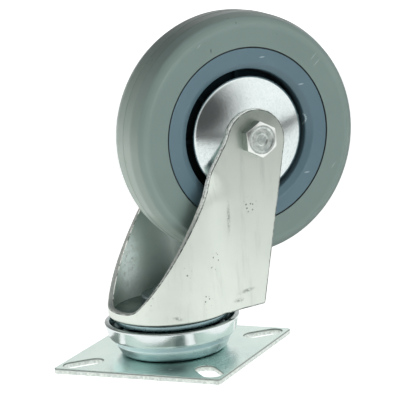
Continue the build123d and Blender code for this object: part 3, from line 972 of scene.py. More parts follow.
recess = 1.0 - plastic.beyond(plastic.aside(AXLE), rim_end - RECESS_FADE[0], rim_end - RECESS_FADE[1])
away = plastic.away(AXLE)
groove_shade_start, groove_shade_end = [rim_radius - share * GROOVE_SHADE_WIDTH for share in GROOVE_FADE]
groove_shade = plastic.beyond(away, groove_shade_start, groove_shade_end)
# Painted shade: the recess and the groove at the rubber are coloured nearly black.
plastic.tint(recess.at_least(groove_shade), SHADE_COLOR)
for pixel in CRESCENT_PIXELS:
    plastic.tint(plastic.spot("wheel_centre", pixel, CRESCENT_WIDTH) * 0.8, CRESCENT_COLOR)
# Painted highlights: three small glints on the plastic.
for pixel in GLINT_PIXELS:
    glint = plastic.spot("wheel_centre", pixel, GLINT_WIDTH, trail_direction, GLINT_LENGTH)
    plastic.tint(glint * 0.5, GLINT_COLOR)
plastic.roughness(0.27 + 0.14 * grain + 0.08 * cloud + 0.5 * recess)
print("plastic", len(plastic.tree.nodes), "nodes with its marks")

# %% [markdown]
# Eight low ribs stiffen the web on each side.  A rib is a bar with rounded
# edges that goes right through the web, the ring sets out eight of them, and
# they are joined with the spun moulding into one piece.

# %% Wheel centre
def bar(length, width, height, edge):
    """A bar lying along X with rounded edges, centred on the origin."""
    mesh = bpy.data.meshes.new("bar")
    shell = bmesh.new()
    bmesh.ops.create_cube(shell, size=1.0)
    bmesh.ops.scale(shell, vec=(length * MM, width * MM, height * MM), verts=shell.verts)
    bmesh.ops.bevel(shell, geom=shell.edges, offset=edge * MM, segments=2, affect="EDGES", profile=0.5)
    shell.to_mesh(mesh)
    shell.free()
    return mesh


RIB_COUNT = 8
RIB_THICKNESS = 2.4
RIB_HEIGHT = 2.5
RIB_EDGE = 0.5
rib_length = root_radius - hub_radius + HUB_WALL
rib = bar(rib_length, RIB_THICKNESS, 2 * (HALF_WEB + RIB_HEIGHT), RIB_EDGE)
ribs_mesh = ringed("ribs", rib, RIB_COUNT, (hub_radius + root_radius) / 2, AXLE, plastic)
piece_for("wheel_centre", centre_mesh, ribs_mesh)

# %% [markdown]
# ## Bright steel
# The thread guards are thin sheet, pressed and zinc plated bright.  Their gloss
# is not a mirror's: the plating is finely spangled, duller in patches and
# flecked with grey.

# %% Guard finish
GUARD_LIGHT = (0.92, 0.98, 0.97)
GUARD_DARK = (0.56, 0.70, 0.69)
FLECK_COLOR = (0.30, 0.36, 0.35)

guard_steel = Finish("bright_steel", (0.78, 0.82, 0.82), 0.2, 1.0)
spangle = guard_steel.noise(1.6, 5.0, 0.65)
patches = guard_steel.noise(12.0, 3.0)
guard_steel.color(guard_steel.blend(patches * spangle, GUARD_LIGHT, GUARD_DARK))
flecks = guard_steel.ramp(guard_steel.noise(0.8, 3.0, 0.7), 0.50, 0.68)
guard_steel.tint(flecks * 0.10, FLECK_COLOR)
guard_steel.roughness(0.13 + 0.16 * spangle * patches + 0.04 * patches)
guard_steel.bump(spangle + patches * 3.0, 0.03)
print("guard steel", len(guard_steel.tree.nodes), "nodes")

# %% [markdown]
# ## Thread guards
# A flat round seat, a dome that is a zone of a ball centred on the axle, and a
# short straight skirt.  The dome's radius follows from the seat, the skirt and
# the depth between them.

# %% Thread guards
GUARD_SHEET = 1.2
GUARD_FLAT = 12.5
GUARD_SKIRT = 1.6
GUARD_DOME_STEPS = 12
GUARD_EDGE = 0.35
GUARD_BORE_EDGE = 0.15

guard_bore, guard_radius, guard_end, guard_face = spans("thread_guard_far", AXLE)
skirt_start = guard_end + GUARD_SKIRT
drop = guard_face - skirt_start
depth = (guard_radius**2 - GUARD_FLAT**2 + drop**2) / (2 * drop)
dome_radius = sqrt(GUARD_FLAT**2 + depth**2)
dome_centre = (0.0, guard_face - depth)


def dome_corners(inset):
    """The dome's line from the seat's edge to the skirt, for the outside or the inside of the sheet."""
    radius = dome_radius - inset
    first = acos(sqrt(radius**2 - (depth - inset) ** 2) / radius)
    last = acos((guard_radius - inset) / radius)
    return arc_line(dome_centre, radius, first, last, GUARD_DOME_STEPS)


outer_dome = dome_corners(0.0)
inner_dome = dome_corners(GUARD_SHEET)
guard_outline = [
    (guard_bore, guard_face, GUARD_BORE_EDGE),
    *outer_dome[1:],
    (guard_radius, guard_end, GUARD_EDGE),
    (guard_radius - GUARD_SHEET, guard_end, GUARD_EDGE),
    *reversed(inner_dome[1:]),
    (guard_bore, guard_face - GUARD_SHEET, GUARD_BORE_EDGE),
]
guard_line = rounded(guard_outline)
piece_for("thread_guard_far", turned("thread_guard_far", guard_line, AXLE, guard_steel))
piece_for("thread_guard_near", turned("thread_guard_near", guard_line, AXLE @ NEAR, guard_steel))

# %% [markdown]
# ## Zinc plate
# Fork, cup and plate are pressed steel, zinc plated and clear passivated: a pale
# metal with a breath of green, satin rather than bright.  Close to, the plating
# is mottled, carries grey stains and has lost a few specks.
# The same finish serves the cup, the plate and the fork's faces, each with its
# own colours, gloss and share of stains, so a function makes it.

# %% Zinc finish
STAIN_COLOR = (0.42, 0.46, 0.44)
BARE_COLOR = (0.10, 0.11, 0.10)


def zinc_finish(name, light, dark, gloss, stain_share):
    """A plated sheet's finish; the larger stain_share is, the more of it the grey stains take."""
    finish = Finish(name, light, gloss, 1.0)
    cloud = finish.noise(26.0, 4.0, 0.55)
    mottle = finish.noise(3.2, 5.0, 0.62)
    grain = finish.noise(0.7, 3.0, 0.6)
    stains = finish.ramp(finish.noise(20.0, 3.0, 0.6), 0.95 - stain_share, 1.15 - stain_share)
    specks = finish.specks(7.5, 0.020) * finish.ramp(cloud, 0.50, 0.62)
    finish.color(finish.blend(cloud, light, dark))
    finish.tint(mottle * 0.25, dark)
    finish.tint(stains * 0.5, STAIN_COLOR)
    finish.tint(specks * 0.8, BARE_COLOR)
    finish.roughness(gloss - 0.07 + 0.10 * mottle + 0.08 * cloud + 0.06 * stains)
    finish.bump(mottle + 0.35 * grain + 2.0 * cloud, 0.04)
    return finish


cup_zinc = zinc_finish("cup_zinc", (0.97, 1.0, 0.99), (0.74, 0.84, 0.83), 0.15, 0.33)
print("zinc", len(cup_zinc.tree.nodes), "nodes")

# %% [markdown]
# A teal shade is painted on the cup's foot, a dark reflection is painted on its
# wall, and the top of its lip is darker.  A dull film of grease stays on the
# ledge under the wall and inside the cup.  A film isn't metal, so it takes the
# metallic value down as well.

# %% The cup's own marks
FOOT_SHADE_BAND = (7.0, 9.4)
FOOT_SHADE_COLOR = (0.34, 0.50, 0.53)
CUP_REFLECTION_PIXEL = (181, 344)
CUP_REFLECTION_WIDTH = 5.0
CUP_REFLECTION_HEIGHT = 7.5
CUP_REFLECTION_COLOR = (0.26, 0.33, 0.33)
LIP_DARK_BAND = 0.7
LIP_DARK_COLOR = (0.14, 0.18, 0.17)
FILM_REACH = 32.4
FILM_FADE = 0.3
FILM_START = (8.5, 9.0)
FILM_COLOR = (0.42, 0.58, 0.60)

cup_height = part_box("swivel_cup")[1].z / MM
lifted = cup_zinc.height()
# Painted shade on the foot, where the cup curves in to the plate.
foot_shade = 1.0 - cup_zinc.beyond(lifted, *FOOT_SHADE_BAND)
cup_zinc.tint(foot_shade * (0.55 + 0.45 * cup_zinc.noise(6.0, 4.0, 0.6)), FOOT_SHADE_COLOR)
# Painted reflection: a dark patch on the wall, where the plate in front is mirrored.
painted_dark = cup_zinc.spot("swivel_cup", CUP_REFLECTION_PIXEL, CUP_REFLECTION_WIDTH, up, CUP_REFLECTION_HEIGHT)
cup_zinc.tint((painted_dark * 1.2).at_most(0.72), CUP_REFLECTION_COLOR)
lip_dark = cup_zinc.beyond(lifted, cup_height - LIP_DARK_BAND, cup_height - LIP_DARK_BAND / 2)
cup_zinc.tint(lip_dark * (0.5 + 0.5 * cup_zinc.noise(1.8, 4.0, 0.7)), LIP_DARK_COLOR)
sheltered = 1.0 - cup_zinc.beyond(cup_zinc.away(SWIVEL), FILM_REACH - FILM_FADE, FILM_REACH)
film = sheltered * cup_zinc.beyond(lifted, *FILM_START)
cup_zinc.tint(film, FILM_COLOR)
cup_zinc.wire("Metallic", 1.0 - 0.8 * film)
print("cup is", round(cup_height, 1), "mm high")

# %% [markdown]
# ## Swivel cup
# The lower half of the ball race: a pressed cup whose wall steps out over a
# waist, carries the balls in the step and ends in a plain lip.  The outside line
# is drawn and the inside line is the same line, one sheet's thickness away.

# %% The other side of a sheet
LEAST_BEND = 0.4


def inner_line(corners, sheet):
    """The corners moved to their left by a sheet's thickness, with their bends to match."""
    moved = []
    for index, (reach, length, bend) in enumerate(corners):
        before = corners[max(index - 1, 0)]
        after = corners[min(index + 1, len(corners) - 1)]
        turn_in = atan2(length - before[1], reach - before[0]) if index else None
        turn_out = atan2(after[1] - length, after[0] - reach) if index < len(corners) - 1 else None
        turn_in = turn_out if turn_in is None else turn_in
        turn_out = turn_in if turn_out is None else turn_out
        middle = (turn_in + turn_out) / 2
        shift = sheet / cos((turn_out - turn_in) / 2)
        new_bend = bend - sheet if turn_out > turn_in else bend + sheet
        moved.append((reach - shift * sin(middle), length + shift * cos(middle), max(new_bend, LEAST_BEND)))
    return moved


print("inside bends are at least", LEAST_BEND, "mm")

# %% Swivel cup
CUP_SHEET = 2.6
CUP_SKIN = [
    (26.6, 0.0, 3.0),
    (29.9, 6.4, 0.8),
    (32.7, 9.5, 3.0),
    (34.7, 16.7, 0.0),
]
CUP_EDGE = 0.7
CUP_BORE_EDGE = 0.2
CUP_STEPS = 256

pin_hole, _, plate_top, _ = spans("swivel_cup", SWIVEL)
cup_outside = [(pin_hole, plate_top, 0.0)]
cup_outside += [(reach, plate_top + length, bend) for reach, length, bend in CUP_SKIN]
cup_inside = inner_line(cup_outside, CUP_SHEET)
first_outside = (*cup_outside[0][:2], CUP_BORE_EDGE)
lip_outside = (*cup_outside[-1][:2], CUP_EDGE)
lip_inside = (*cup_inside[-1][:2], CUP_EDGE)
cup_outline = [first_outside, *cup_outside[1:-1], lip_outside, lip_inside, *reversed(cup_inside[1:-1])]
cup_outline.append((pin_hole, plate_top + CUP_SHEET, CUP_BORE_EDGE))
piece_for("swivel_cup", turned("swivel_cup", rounded(cup_outline), SWIVEL, cup_zinc, steps=CUP_STEPS))

# %% [markdown]
# ## Top plate
# A blanked plate: rounded rectangle, four slots set at an angle, edges broken.
# Slots cut from a box with Booleans would need their edges bevelled afterwards.
# A filled 2D curve with holes says it all at once, and its extrude and bevel
# make the thickness and the broken edge.  A loop of the curve has two points to
# each corner, with handles that draw the quarter turn between them.

# %% Loops of the plate's curve
BEZIER_QUARTER = 0.5523
LOOP_RESOLUTION = 8


def add_loop(curve, outline):
    """A closed loop of straight runs and quarter turns; each corner is (place, rounding) in mm."""
    spline = curve.splines.new("BEZIER")
    spline.bezier_points.add(2 * len(outline) - 1)
    for index, (here, rounding) in enumerate(outline):
        back = (outline[index - 1][0] - here).normalized()
        onward = (outline[(index + 1) % len(outline)][0] - here).normalized()
        for side, point in enumerate(spline.bezier_points[2 * index : 2 * index + 2]):
            way = (back, onward)[side]
            place = here + way * rounding
            pull = place - way * rounding * BEZIER_QUARTER
            point.handle_left_type = point.handle_right_type = "FREE"
            point.co = (*place * MM, 0)
            point.handle_left = (*(place if side == 0 else pull) * MM, 0)
            point.handle_right = (*(pull if side == 0 else place) * MM, 0)
    spline.use_cyclic_u = True
    spline.resolution_u = LOOP_RESOLUTION


def rectangle(centre, half_length, half_width, turn, rounding):
    """The four corners of a turned rectangle, each with its rounding."""
    signs = ((-1, -1), (1, -1), (1, 1), (-1, 1))
    spin = Matrix.Rotation(turn, 2)
    return [(Vector(centre) + spin @ Vector((x * half_length, y * half_width)), rounding) for x, y in signs]


print("loops can be drawn")

# %% The plate's shape
PLATE_CORNER = 1.8
PLATE_EDGE = 0.45
PLATE_BEVEL_STEPS = 3
SLOT_SPACING = (70.0, 67.0)
SLOT_LENGTH = 21.0
SLOT_WIDTH = 10.3
SLOT_END_FLAT = 0.01
SLOT_ANGLE = radians(45)

plate_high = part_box("top_plate")[1]
plate_half = Vector((plate_high.x, plate_high.y)) / MM
plate_thickness = plate_high.z / MM
plate_curve = bpy.data.curves.new("plate", "CURVE")
plate_curve.dimensions = "2D"
plate_curve.fill_mode = "BOTH"
add_loop(plate_curve, rectangle((0, 0), plate_half.x, plate_half.y, 0.0, PLATE_CORNER))
for side_x, side_y in ((-1, -1), (-1, 1), (1, -1), (1, 1)):
    centre = (side_x * SLOT_SPACING[0] / 2, side_y * SLOT_SPACING[1] / 2)
    turn = side_x * side_y * SLOT_ANGLE
    rounding = SLOT_WIDTH / 2 - SLOT_END_FLAT
    add_loop(plate_curve, rectangle(centre, SLOT_LENGTH / 2, SLOT_WIDTH / 2, turn, rounding))
plate_curve.extrude = (plate_thickness / 2 - PLATE_EDGE) * MM
plate_curve.bevel_depth = PLATE_EDGE * MM
plate_curve.offset = -PLATE_EDGE * MM
plate_curve.bevel_resolution = PLATE_BEVEL_STEPS
plate_mesh = plain_mesh(added("plate", plate_curve))
plate_mesh.transform(Matrix.Translation((0, 0, plate_thickness / 2 * MM)))
facing_out(plate_mesh)
print("plate of", len(plate_mesh.polygons), "faces")

# %% [markdown]
# The faces are plated and lie flat, so they are shaded flat.  The cut edge is
# rough where the shear tore it, and dark where it rolls over to the top face.
# A face's own direction says which of the two finishes it gets.

# %% Top plate
FLAT = 0.999
SHEARED = 0.8
SHEAR_DARK = (0.66, 0.72, 0.68)
SHEAR_LIGHT = (0.90, 0.96, 0.91)
ROLLED_BAND = (1.1, 0.5)
ROLLED_COLOR = (0.16, 0.20, 0.18)

plate_mesh.shade_smooth()
for face in plate_mesh.polygons:
    face.use_smooth = abs(face.normal.z) < FLAT

plate_zinc = zinc_finish("plate_zinc", (0.72, 0.84, 0.77), (0.58, 0.71, 0.67), 0.23, 0.36)
plate_edge = Finish("plate_edge", (0.60, 0.66, 0.62), 0.4, 1.0)
chips = plate_edge.ramp(plate_edge.noise(1.2, 5.0, 0.75), 0.40, 0.60)
plate_edge.color(plate_edge.blend(chips, SHEAR_DARK, SHEAR_LIGHT))
band = [plate_thickness - down for down in ROLLED_BAND]
rolled = plate_edge.beyond(plate_edge.height(), *band)
plate_edge.tint(rolled * (0.60 + 0.30 * chips), ROLLED_COLOR)
plate_edge.roughness(0.50 - 0.10 * chips)
plate_edge.bump(chips, 0.02)
plate_mesh.materials.clear()
for finish in (plate_zinc, plate_edge):
    plate_mesh.materials.append(finish.material)
for face in plate_mesh.polygons:
    face.material_index = 1 if abs(face.normal.z) < SHEARED else 0
piece_for("top_plate", plate_mesh)

# %% [markdown]
# ## Inside the head
# Two rows of balls, the race ring under the crown, the washer over the inner
# balls and the peened king pin that holds the head together.  They are seen
# through the gap under the crown and down through the fork's mouth.  The ring
# is hardened steel, and what sits in the grease is darker, for the grease and
# as painted shade.

# %% Bearing steel
bearing_steel = Finish("bearing_steel", (0.46, 0.54, 0.56), 0.25, 1.0)
film = bearing_steel.noise(6.0, 4.0, 0.6)
bearing_steel.color(bearing_steel.blend(film, (0.26, 0.42, 0.44), (0.44, 0.58, 0.60)))
bearing_steel.roughness(0.18 + 0.18 * film)
bearing_steel.bump(bearing_steel.noise(1.2, 4.0), 0.02)

# Grease and painted shade: balls, washer and king pin sit in shade, so they are coloured dark.
greased_steel = Finish("greased_steel", (0.16, 0.21, 0.21), 0.4, 1.0)
smears = greased_steel.noise(4.0, 4.0, 0.6)
greased_steel.color(greased_steel.blend(smears, (0.10, 0.14, 0.14), (0.24, 0.30, 0.30)))
greased_steel.roughness(0.32 + 0.25 * smears)
print("bearing steel", len(bearing_steel.tree.nodes), "nodes")

# %% [markdown]
# The outer balls carry the load, and the smaller inner ones hold the head
# together.  Each row is one piece, and its ball size and circle are measured on
# the solids.

# %% Balls
BALL_COUNTS = {"inner_balls": 8, "outer_balls": 12}

for node in ("outer_balls", "inner_balls"):
    inner, outer, low, high = spans(node, SWIVEL)
    at_height = Matrix.Translation((0, 0, (low + high) / 2 * MM))
    template = ball((high - low) / 2)
    circle_radius = (inner + outer) / 2
    piece_for(node, ringed(node, template, BALL_COUNTS[node], circle_radius, at_height, greased_steel))

# %% [markdown]
# The race ring's groove is a quarter of the ball's own circle with a little
# play, so the ring's line takes its radius and centre from the outer balls.

# %% Race ring
BALL_PLAY = 0.15
GROOVE_STEPS = 8
RACE_EDGE = 0.4
RACE_BACK_EDGE = 0.7

ring_bore, ring_radius, ring_foot, ring_back = spans("fork_race", SWIVEL)
inner, outer, low, high = spans("outer_balls", SWIVEL)
ball_circle = (inner + outer) / 2
ball_height = (low + high) / 2
race_reach = (high - low) / 2 + BALL_PLAY
groove = arc_line((ball_circle, ball_height), race_reach, pi / 2, pi, GROOVE_STEPS)
race_outline = [
    (ring_bore, ring_back, RACE_EDGE),
    (ring_bore, ring_foot, RACE_EDGE),
    (ball_circle - race_reach, ring_foot, RACE_EDGE),
    *reversed(groove),
    (ring_radius, ball_height + race_reach, RACE_EDGE),
    (ring_radius, ring_back, RACE_BACK_EDGE),
]
piece_for("fork_race", turned("fork_race", rounded(race_outline), SWIVEL, bearing_steel))

# %% [markdown]
# The washer is a shallow pressed cap whose skirt goes round the inner balls.  It
# is turned like the cup, and its bore and rim follow the solid's.

# %% Head washer
WASHER_SHEET = 2.4
WASHER_PLAY = 0.03
washer_bore, washer_radius, washer_foot, washer_top = spans("head_washer", SWIVEL)
skirt_inner = spans("inner_balls", SWIVEL)[1] + WASHER_PLAY
washer_outline = [
    (washer_bore, washer_top, 0.2),
    (washer_radius, washer_top, 1.1),
    (washer_radius, washer_foot, 0.3),
    (skirt_inner, washer_foot, 0.3),
    (skirt_inner, washer_top - WASHER_SHEET, 0.3),
    (washer_bore, washer_top - WASHER_SHEET, 0.2),
]
piece_for("head_washer", turned("head_washer", rounded(washer_outline), SWIVEL, greased_steel))

# %% [markdown]
# The king pin is a stepped pin.  Its shank stands between the cup's floor and
# the washer, and both its ends were pressed over: a countersunk foot, flush with
# the plate, and a dished head on the washer.

# %% King pin
PIN_FOOT = 7.5
PIN_SPIGOT = 5.0
PIN_SHANK = 6.0
PIN_HEAD = 8.5
PIN_HEAD_TAPER = 0.4
PIN_HEAD_SIDE = 2.2
PIN_DISH = (1.6, 2.2)
PIN_DISH_DEPTH = (0.7, 0.8)

pin_top = spans("king_pin", SWIVEL)[3]
washer_seat = washer_top - WASHER_SHEET
cup_floor = plate_top + CUP_SHEET
pin_outline = [
    (0, 0, 0),
    (PIN_FOOT, 0, 0.2),
    (PIN_SPIGOT, plate_top, 0.2),
    (PIN_SPIGOT, cup_floor, 0.1),
    (PIN_SHANK, cup_floor, 0.3),
    (PIN_SHANK, washer_seat, 0.3),
    (PIN_SPIGOT, washer_seat, 0.1),
    (PIN_SPIGOT, washer_top, 0.1),
    (PIN_HEAD, washer_top, 0.4),
    (PIN_HEAD - PIN_HEAD_TAPER, washer_top + PIN_HEAD_SIDE, 1.2),
    (PIN_SPIGOT, pin_top, 1.4),
    (PIN_SPIGOT - PIN_DISH[0], pin_top, 0.4),
    (PIN_SPIGOT - PIN_DISH[1], pin_top - PIN_DISH_DEPTH[0], 0.4),
    (0, pin_top - PIN_DISH_DEPTH[1], 0),
]
piece_for("king_pin", turned("king_pin", rounded(pin_outline, closed=False), SWIVEL, greased_steel))

# %% [markdown]
# ## Bolt steel
# Bolt, nut and axle sleeve are plated too, but thicker and duller.  The flanks
# of the hexagon are painted dark with shade, and the cone that was turned over
# its corners carries a painted highlight.

# %% Bolt finish
HEAD_FACE_RADIUS = 7.2
HEAD_FACE_FADE = 0.15
CONE_BAND = (1.1, 0.9)
BOLT_LIGHT = (0.84, 0.90, 0.86)
BOLT_DARK = (0.46, 0.53, 0.50)
CONE_HIGHLIGHT_COLOR = (0.96, 1.0, 0.96)
FLANK_SHADE_COLOR = (0.26, 0.31, 0.28)

head_end, bolt_end = spans("axle_bolt", AXLE)[2:]
head_top = -head_end
bolt_steel = Finish("bolt_steel", (0.56, 0.62, 0.60), 0.33, 1.0)
wear = bolt_steel.noise(2.2, 6.0, 0.66)
shade = bolt_steel.noise(7.0, 3.0)
bolt_steel.color(bolt_steel.blend(bolt_steel.ramp(wear, 0.3, 0.7), BOLT_LIGHT, BOLT_DARK))
outer = bolt_steel.beyond(bolt_steel.away(AXLE), HEAD_FACE_RADIUS, HEAD_FACE_RADIUS + HEAD_FACE_FADE)
cone_mask = bolt_steel.beyond(bolt_steel.aside(AXLE), head_top - CONE_BAND[0], head_top - CONE_BAND[1])
# Painted highlight on the cone, painted shade on the flanks.
bolt_steel.tint(outer * cone_mask, CONE_HIGHLIGHT_COLOR)
bolt_steel.tint(outer * (1.0 - cone_mask) * 0.75, FLANK_SHADE_COLOR)
bolt_steel.roughness(0.24 + 0.22 * wear)
bolt_steel.bump(wear + shade, 0.10)
print("bolt steel", len(bolt_steel.tree.nodes), "nodes")

# %% [markdown]
# ## Axle bolt and nut
# A forged hexagon head has a cone turned over its corners and a shallow dimple
# with a deeper middle.  The lathe spins the coned disc, with the cone in short
# steps, and trims it to the hexagon, so the crescents on the corners come by
# themselves, as they do at the factory.

# %% Cones in an outline
CHAMFER_STEPS = 10


def cone_line(start, end):
    """Corners along a straight cone, as (radius, length, no rounding) in mm."""
    spots = [step / CHAMFER_STEPS for step in range(1, CHAMFER_STEPS + 1)]
    return [(start[0] + (end[0] - start[0]) * t, start[1] + (end[1] - start[1]) * t, 0) for t in spots]


print("cones have", CHAMFER_STEPS, "steps")

# %% Axle bolt
ACROSS_FLATS = 16.0
HEAD_TURN = radians(1)
CHAMFER_RADIUS = 7.3
CHAMFER_HEIGHT = 0.9
FACE_CHAMFER = 0.3
PAST_CORNER = 0.05
DIMPLE_RADIUS = 6.4
DIMPLE_DEPTH = 0.35
DIMPLE_SLOPE = 0.7
DEEP_RADIUS = 3.2
DEEP_SLOPE = 0.5
BOLT_CHAMFER = 1.0
BOLT_RADIUS = 5.0

corner_radius = ACROSS_FLATS / sqrt(3)
trim_radius = corner_radius + PAST_CORNER
leg_outer = spans("axle_nut", AXLE)[2]
chamfer = cone_line((CHAMFER_RADIUS, head_top), (trim_radius, head_top - CHAMFER_HEIGHT))
head_outline = [
    (0, head_top - 2 * DIMPLE_DEPTH, 0),
    (DEEP_RADIUS - DEEP_SLOPE, head_top - 2 * DIMPLE_DEPTH, 0.5),
    (DEEP_RADIUS, head_top - 0.7 * DIMPLE_DEPTH, 0.5),
    (DIMPLE_RADIUS - DIMPLE_SLOPE, head_top - DIMPLE_DEPTH, 0.5),
    (DIMPLE_RADIUS, head_top, 0.3),
    (CHAMFER_RADIUS, head_top, 0.25),
    *chamfer,
    (trim_radius, leg_outer + FACE_CHAMFER, 0),
    (corner_radius - FACE_CHAMFER, leg_outer, 0),
    (BOLT_RADIUS, leg_outer, 0.2),
    (BOLT_RADIUS, -bolt_end, BOLT_CHAMFER * 0.6),
    (BOLT_RADIUS - BOLT_CHAMFER, -bolt_end, 0.2),
    (0, -bolt_end, 0),
]
bolt_line = rounded(head_outline, closed=False)
flats = ACROSS_FLATS * MM
bolt_mesh = turned("bolt", bolt_line, AXLE @ NEAR, bolt_steel, across_flats=flats, turn=HEAD_TURN)
print("bolt of", len(bolt_mesh.polygons), "faces, head", round(head_top - leg_outer, 2), "mm high")

# %% [markdown]
# The end of the bolt shows a few turns of thread past the nut.  A bump in the
# finish would leave the bolt's outline straight.  A spiral curve swept with a
# small triangle makes real ridges, in a third tree.

# %% Thread
THREAD_PITCH = 1.5
THREAD_DEPTH = 0.45
THREAD_STEPS = 48
THREAD_HIDDEN = 1.0
THREAD_RUNOUT = 0.3

thread = Recipe("thread", {"Radius": "Float", "Length": "Float", "Pitch": "Float", "Depth": "Float"})
run = thread.size("Length")
radius = thread.size("Radius")
spiral_sizes = {
    "Resolution": THREAD_STEPS,
    "Rotations": run / thread.size("Pitch"),
    "Start Radius": radius,
    "End Radius": radius,
    "Height": run,
}
spiral = thread.node("GeometryNodeCurveSpiral", inputs=spiral_sizes)
triangle = {"Resolution": 3, "Radius": thread.size("Depth")}
blade = thread.node("GeometryNodeCurvePrimitiveCircle", inputs=triangle)
swept = {"Curve": spiral, "Profile Curve": blade, "Fill Caps": True}
thread.serve(thread.node("GeometryNodeCurveToMesh", inputs=swept))

thread_start = spans("axle_nut", AXLE)[3] - THREAD_HIDDEN
thread_sizes = {
    "radius": (BOLT_RADIUS - THREAD_DEPTH / 2) * MM,
    "length": (bolt_end - BOLT_CHAMFER - THREAD_RUNOUT - thread_start) * MM,
    "pitch": THREAD_PITCH * MM,
    "depth": THREAD_DEPTH * MM,
}
empty = bpy.data.meshes.new("thread")
thread_mesh = cook("thread", thread, empty, finish=bolt_steel.material, **thread_sizes)
thread_mesh.transform(AXLE @ Matrix.Translation((0, 0, thread_start * MM)))
facing_out(thread_mesh)
piece_for("axle_bolt", bolt_mesh, thread_mesh)

# %% [markdown]
# The nut is the same forging with a collar, and the collar holds a ring of
# nylon that grips the thread.  Both are turned on the lathe, and the nut is
# trimmed to its hexagon like the bolt's head.

# %% Nut
NUT_HEIGHT = 6.5
COLLAR_RADIUS = 7.1
COLLAR_MOUTH = 5.7
LIP_OVER_INSERT = (0.05, 0.02)

nut_bore, _, nut_start, nut_end = spans("axle_nut", AXLE)
hex_end = nut_start + NUT_HEIGHT
insert_bore, insert_reach, insert_start, insert_end = spans("nut_insert", AXLE)
chamfer = cone_line((trim_radius, hex_end - CHAMFER_HEIGHT), (CHAMFER_RADIUS, hex_end))
nut_outline = [
    (nut_bore, nut_start, 0.3),
    (corner_radius - FACE_CHAMFER, nut_start, 0),
    (trim_radius, nut_start + FACE_CHAMFER, 0),
    (trim_radius, hex_end - CHAMFER_HEIGHT, 0),
    *chamfer,
    (COLLAR_RADIUS, hex_end, 0.1),
    (COLLAR_RADIUS, nut_end, 0.9),
    (COLLAR_MOUTH, nut_end, 0.3),
    (COLLAR_MOUTH, insert_end + LIP_OVER_INSERT[0], 0.3),
    (insert_reach, insert_end + LIP_OVER_INSERT[1], 0.05),
    (insert_reach, insert_start, 0.1),
    (nut_bore, insert_start, 0.1),
]
nut_line = rounded(nut_outline)
nut_mesh = turned("nut", nut_line, AXLE, bolt_steel, across_flats=flats, turn=-HEAD_TURN)
piece_for("axle_nut", nut_mesh)

# %% The nut's nylon ring
nylon = Finish("white_nylon", (0.78, 0.78, 0.72), 0.42)
nylon.roughness(0.36 + 0.16 * nylon.noise(1.0, 4.0))
nylon.bump(nylon.noise(1.5, 3.0), 0.03)
insert_outline = [
    (insert_bore, insert_start, 0.2),
    (insert_reach, insert_start, 0.2),
    (insert_reach, insert_end, 0.3),
    (insert_bore, insert_end, 0.5),
]
piece_for("nut_insert", turned("nut_insert", rounded(insert_outline), AXLE, nylon))

# %% [markdown]
# ## What stays as the model has it
# The sleeve, the bush, the cage and the rollers sit inside the hub and are true
# in the model.  They keep their meshes and get their finish.

# %% Finishes for the pieces that stay
cage_plastic = Finish("black_plastic", (0.03, 0.03, 0.035), 0.5)
cage_plastic.roughness(0.42 + 0.16 * cage_plastic.noise(1.0, 4.0))
kept = {
    "axle_sleeve": bolt_steel,
    "bearing_bush": bearing_steel,
    "roller_cage": cage_plastic,
    "bearing_rollers": bearing_steel,
}
for node, finish in kept.items():
    nodes[node].data.materials.clear()
    nodes[node].data.materials.append(finish.material)
print("kept", ", ".join(kept))

# %% [markdown]
# ## Fork
# The fork is one sheet, pressed into a round crown and two legs.  Cut out of a
# block, as the solid is, its mesh would be slivers and its edges knife sharp.
# Here it is made as the press shop sees it: a flat pattern in two measures, how
# far round the sheet from the front and how high, which is laid onto the
# pressed form.  `skin` is the form's outside, and `form` goes down into the
# sheet from there, to the cut edge and the inside.

# %% Round the sheet
SHEET = 2.8
CROWN_RADIUS = 32.0
LEG_BLEND = 24.0
SHOULDER_START = 79.0
SHOULDER_ARC = 34.0

blend_line = leg_outer + LEG_BLEND
blend_end = sqrt((CROWN_RADIUS + LEG_BLEND) ** 2 - blend_line**2)
blend_start = blend_end * CROWN_RADIUS / (CROWN_RADIUS + LEG_BLEND)
crown_arc = acos(-blend_start / CROWN_RADIUS)
blend_arc = asin((blend_end - blend_start) / LEG_BLEND)
crown_run = CROWN_RADIUS * crown_arc
leg_run = crown_run + LEG_BLEND * blend_arc


def reach_at(run):
    """How far along the trail the sheet lies at a run round it from the front."""
    if run < crown_run:
        return -CROWN_RADIUS * cos(run / CROWN_RADIUS)
    if run < leg_run:
        return blend_end - LEG_BLEND * sin((leg_run - run) / LEG_BLEND)
    return blend_end + run - leg_run


def run_at(reach):
    """The run round the sheet from the front that has this reach along the trail."""
    if reach < blend_start:
        return CROWN_RADIUS * acos(max(-1.0, min(1.0, -reach / CROWN_RADIUS)))
    if reach < blend_end:
        return leg_run - LEG_BLEND * asin((blend_end - reach) / LEG_BLEND)
    return leg_run + reach - blend_end


print("the sheet is", round(crown_run, 1), "mm round to the blend and", round(leg_run, 1), "mm to the leg")

# %% [markdown]
# Seen from above, each half of the form is an arc, a blend and a flat leg.  Up
# the shoulder the arc's radius shrinks, and the legs go on flat.

# %% The pressed form
SLOPE_STEP = 0.02


def half_width(reach, radius):
    """Half the fork's width at a reach, where its crown has this radius: arc, blend or flat leg."""
    if radius <= leg_outer:
        return leg_outer
    end = sqrt((radius + LEG_BLEND) ** 2 - blend_line**2)
    if reach >= end:
        return leg_outer
    if reach >= end * radius / (radius + LEG_BLEND):
        return blend_line - sqrt(LEG_BLEND**2 - (end - reach) ** 2)
    return sqrt(max(0.0, radius**2 - reach**2))


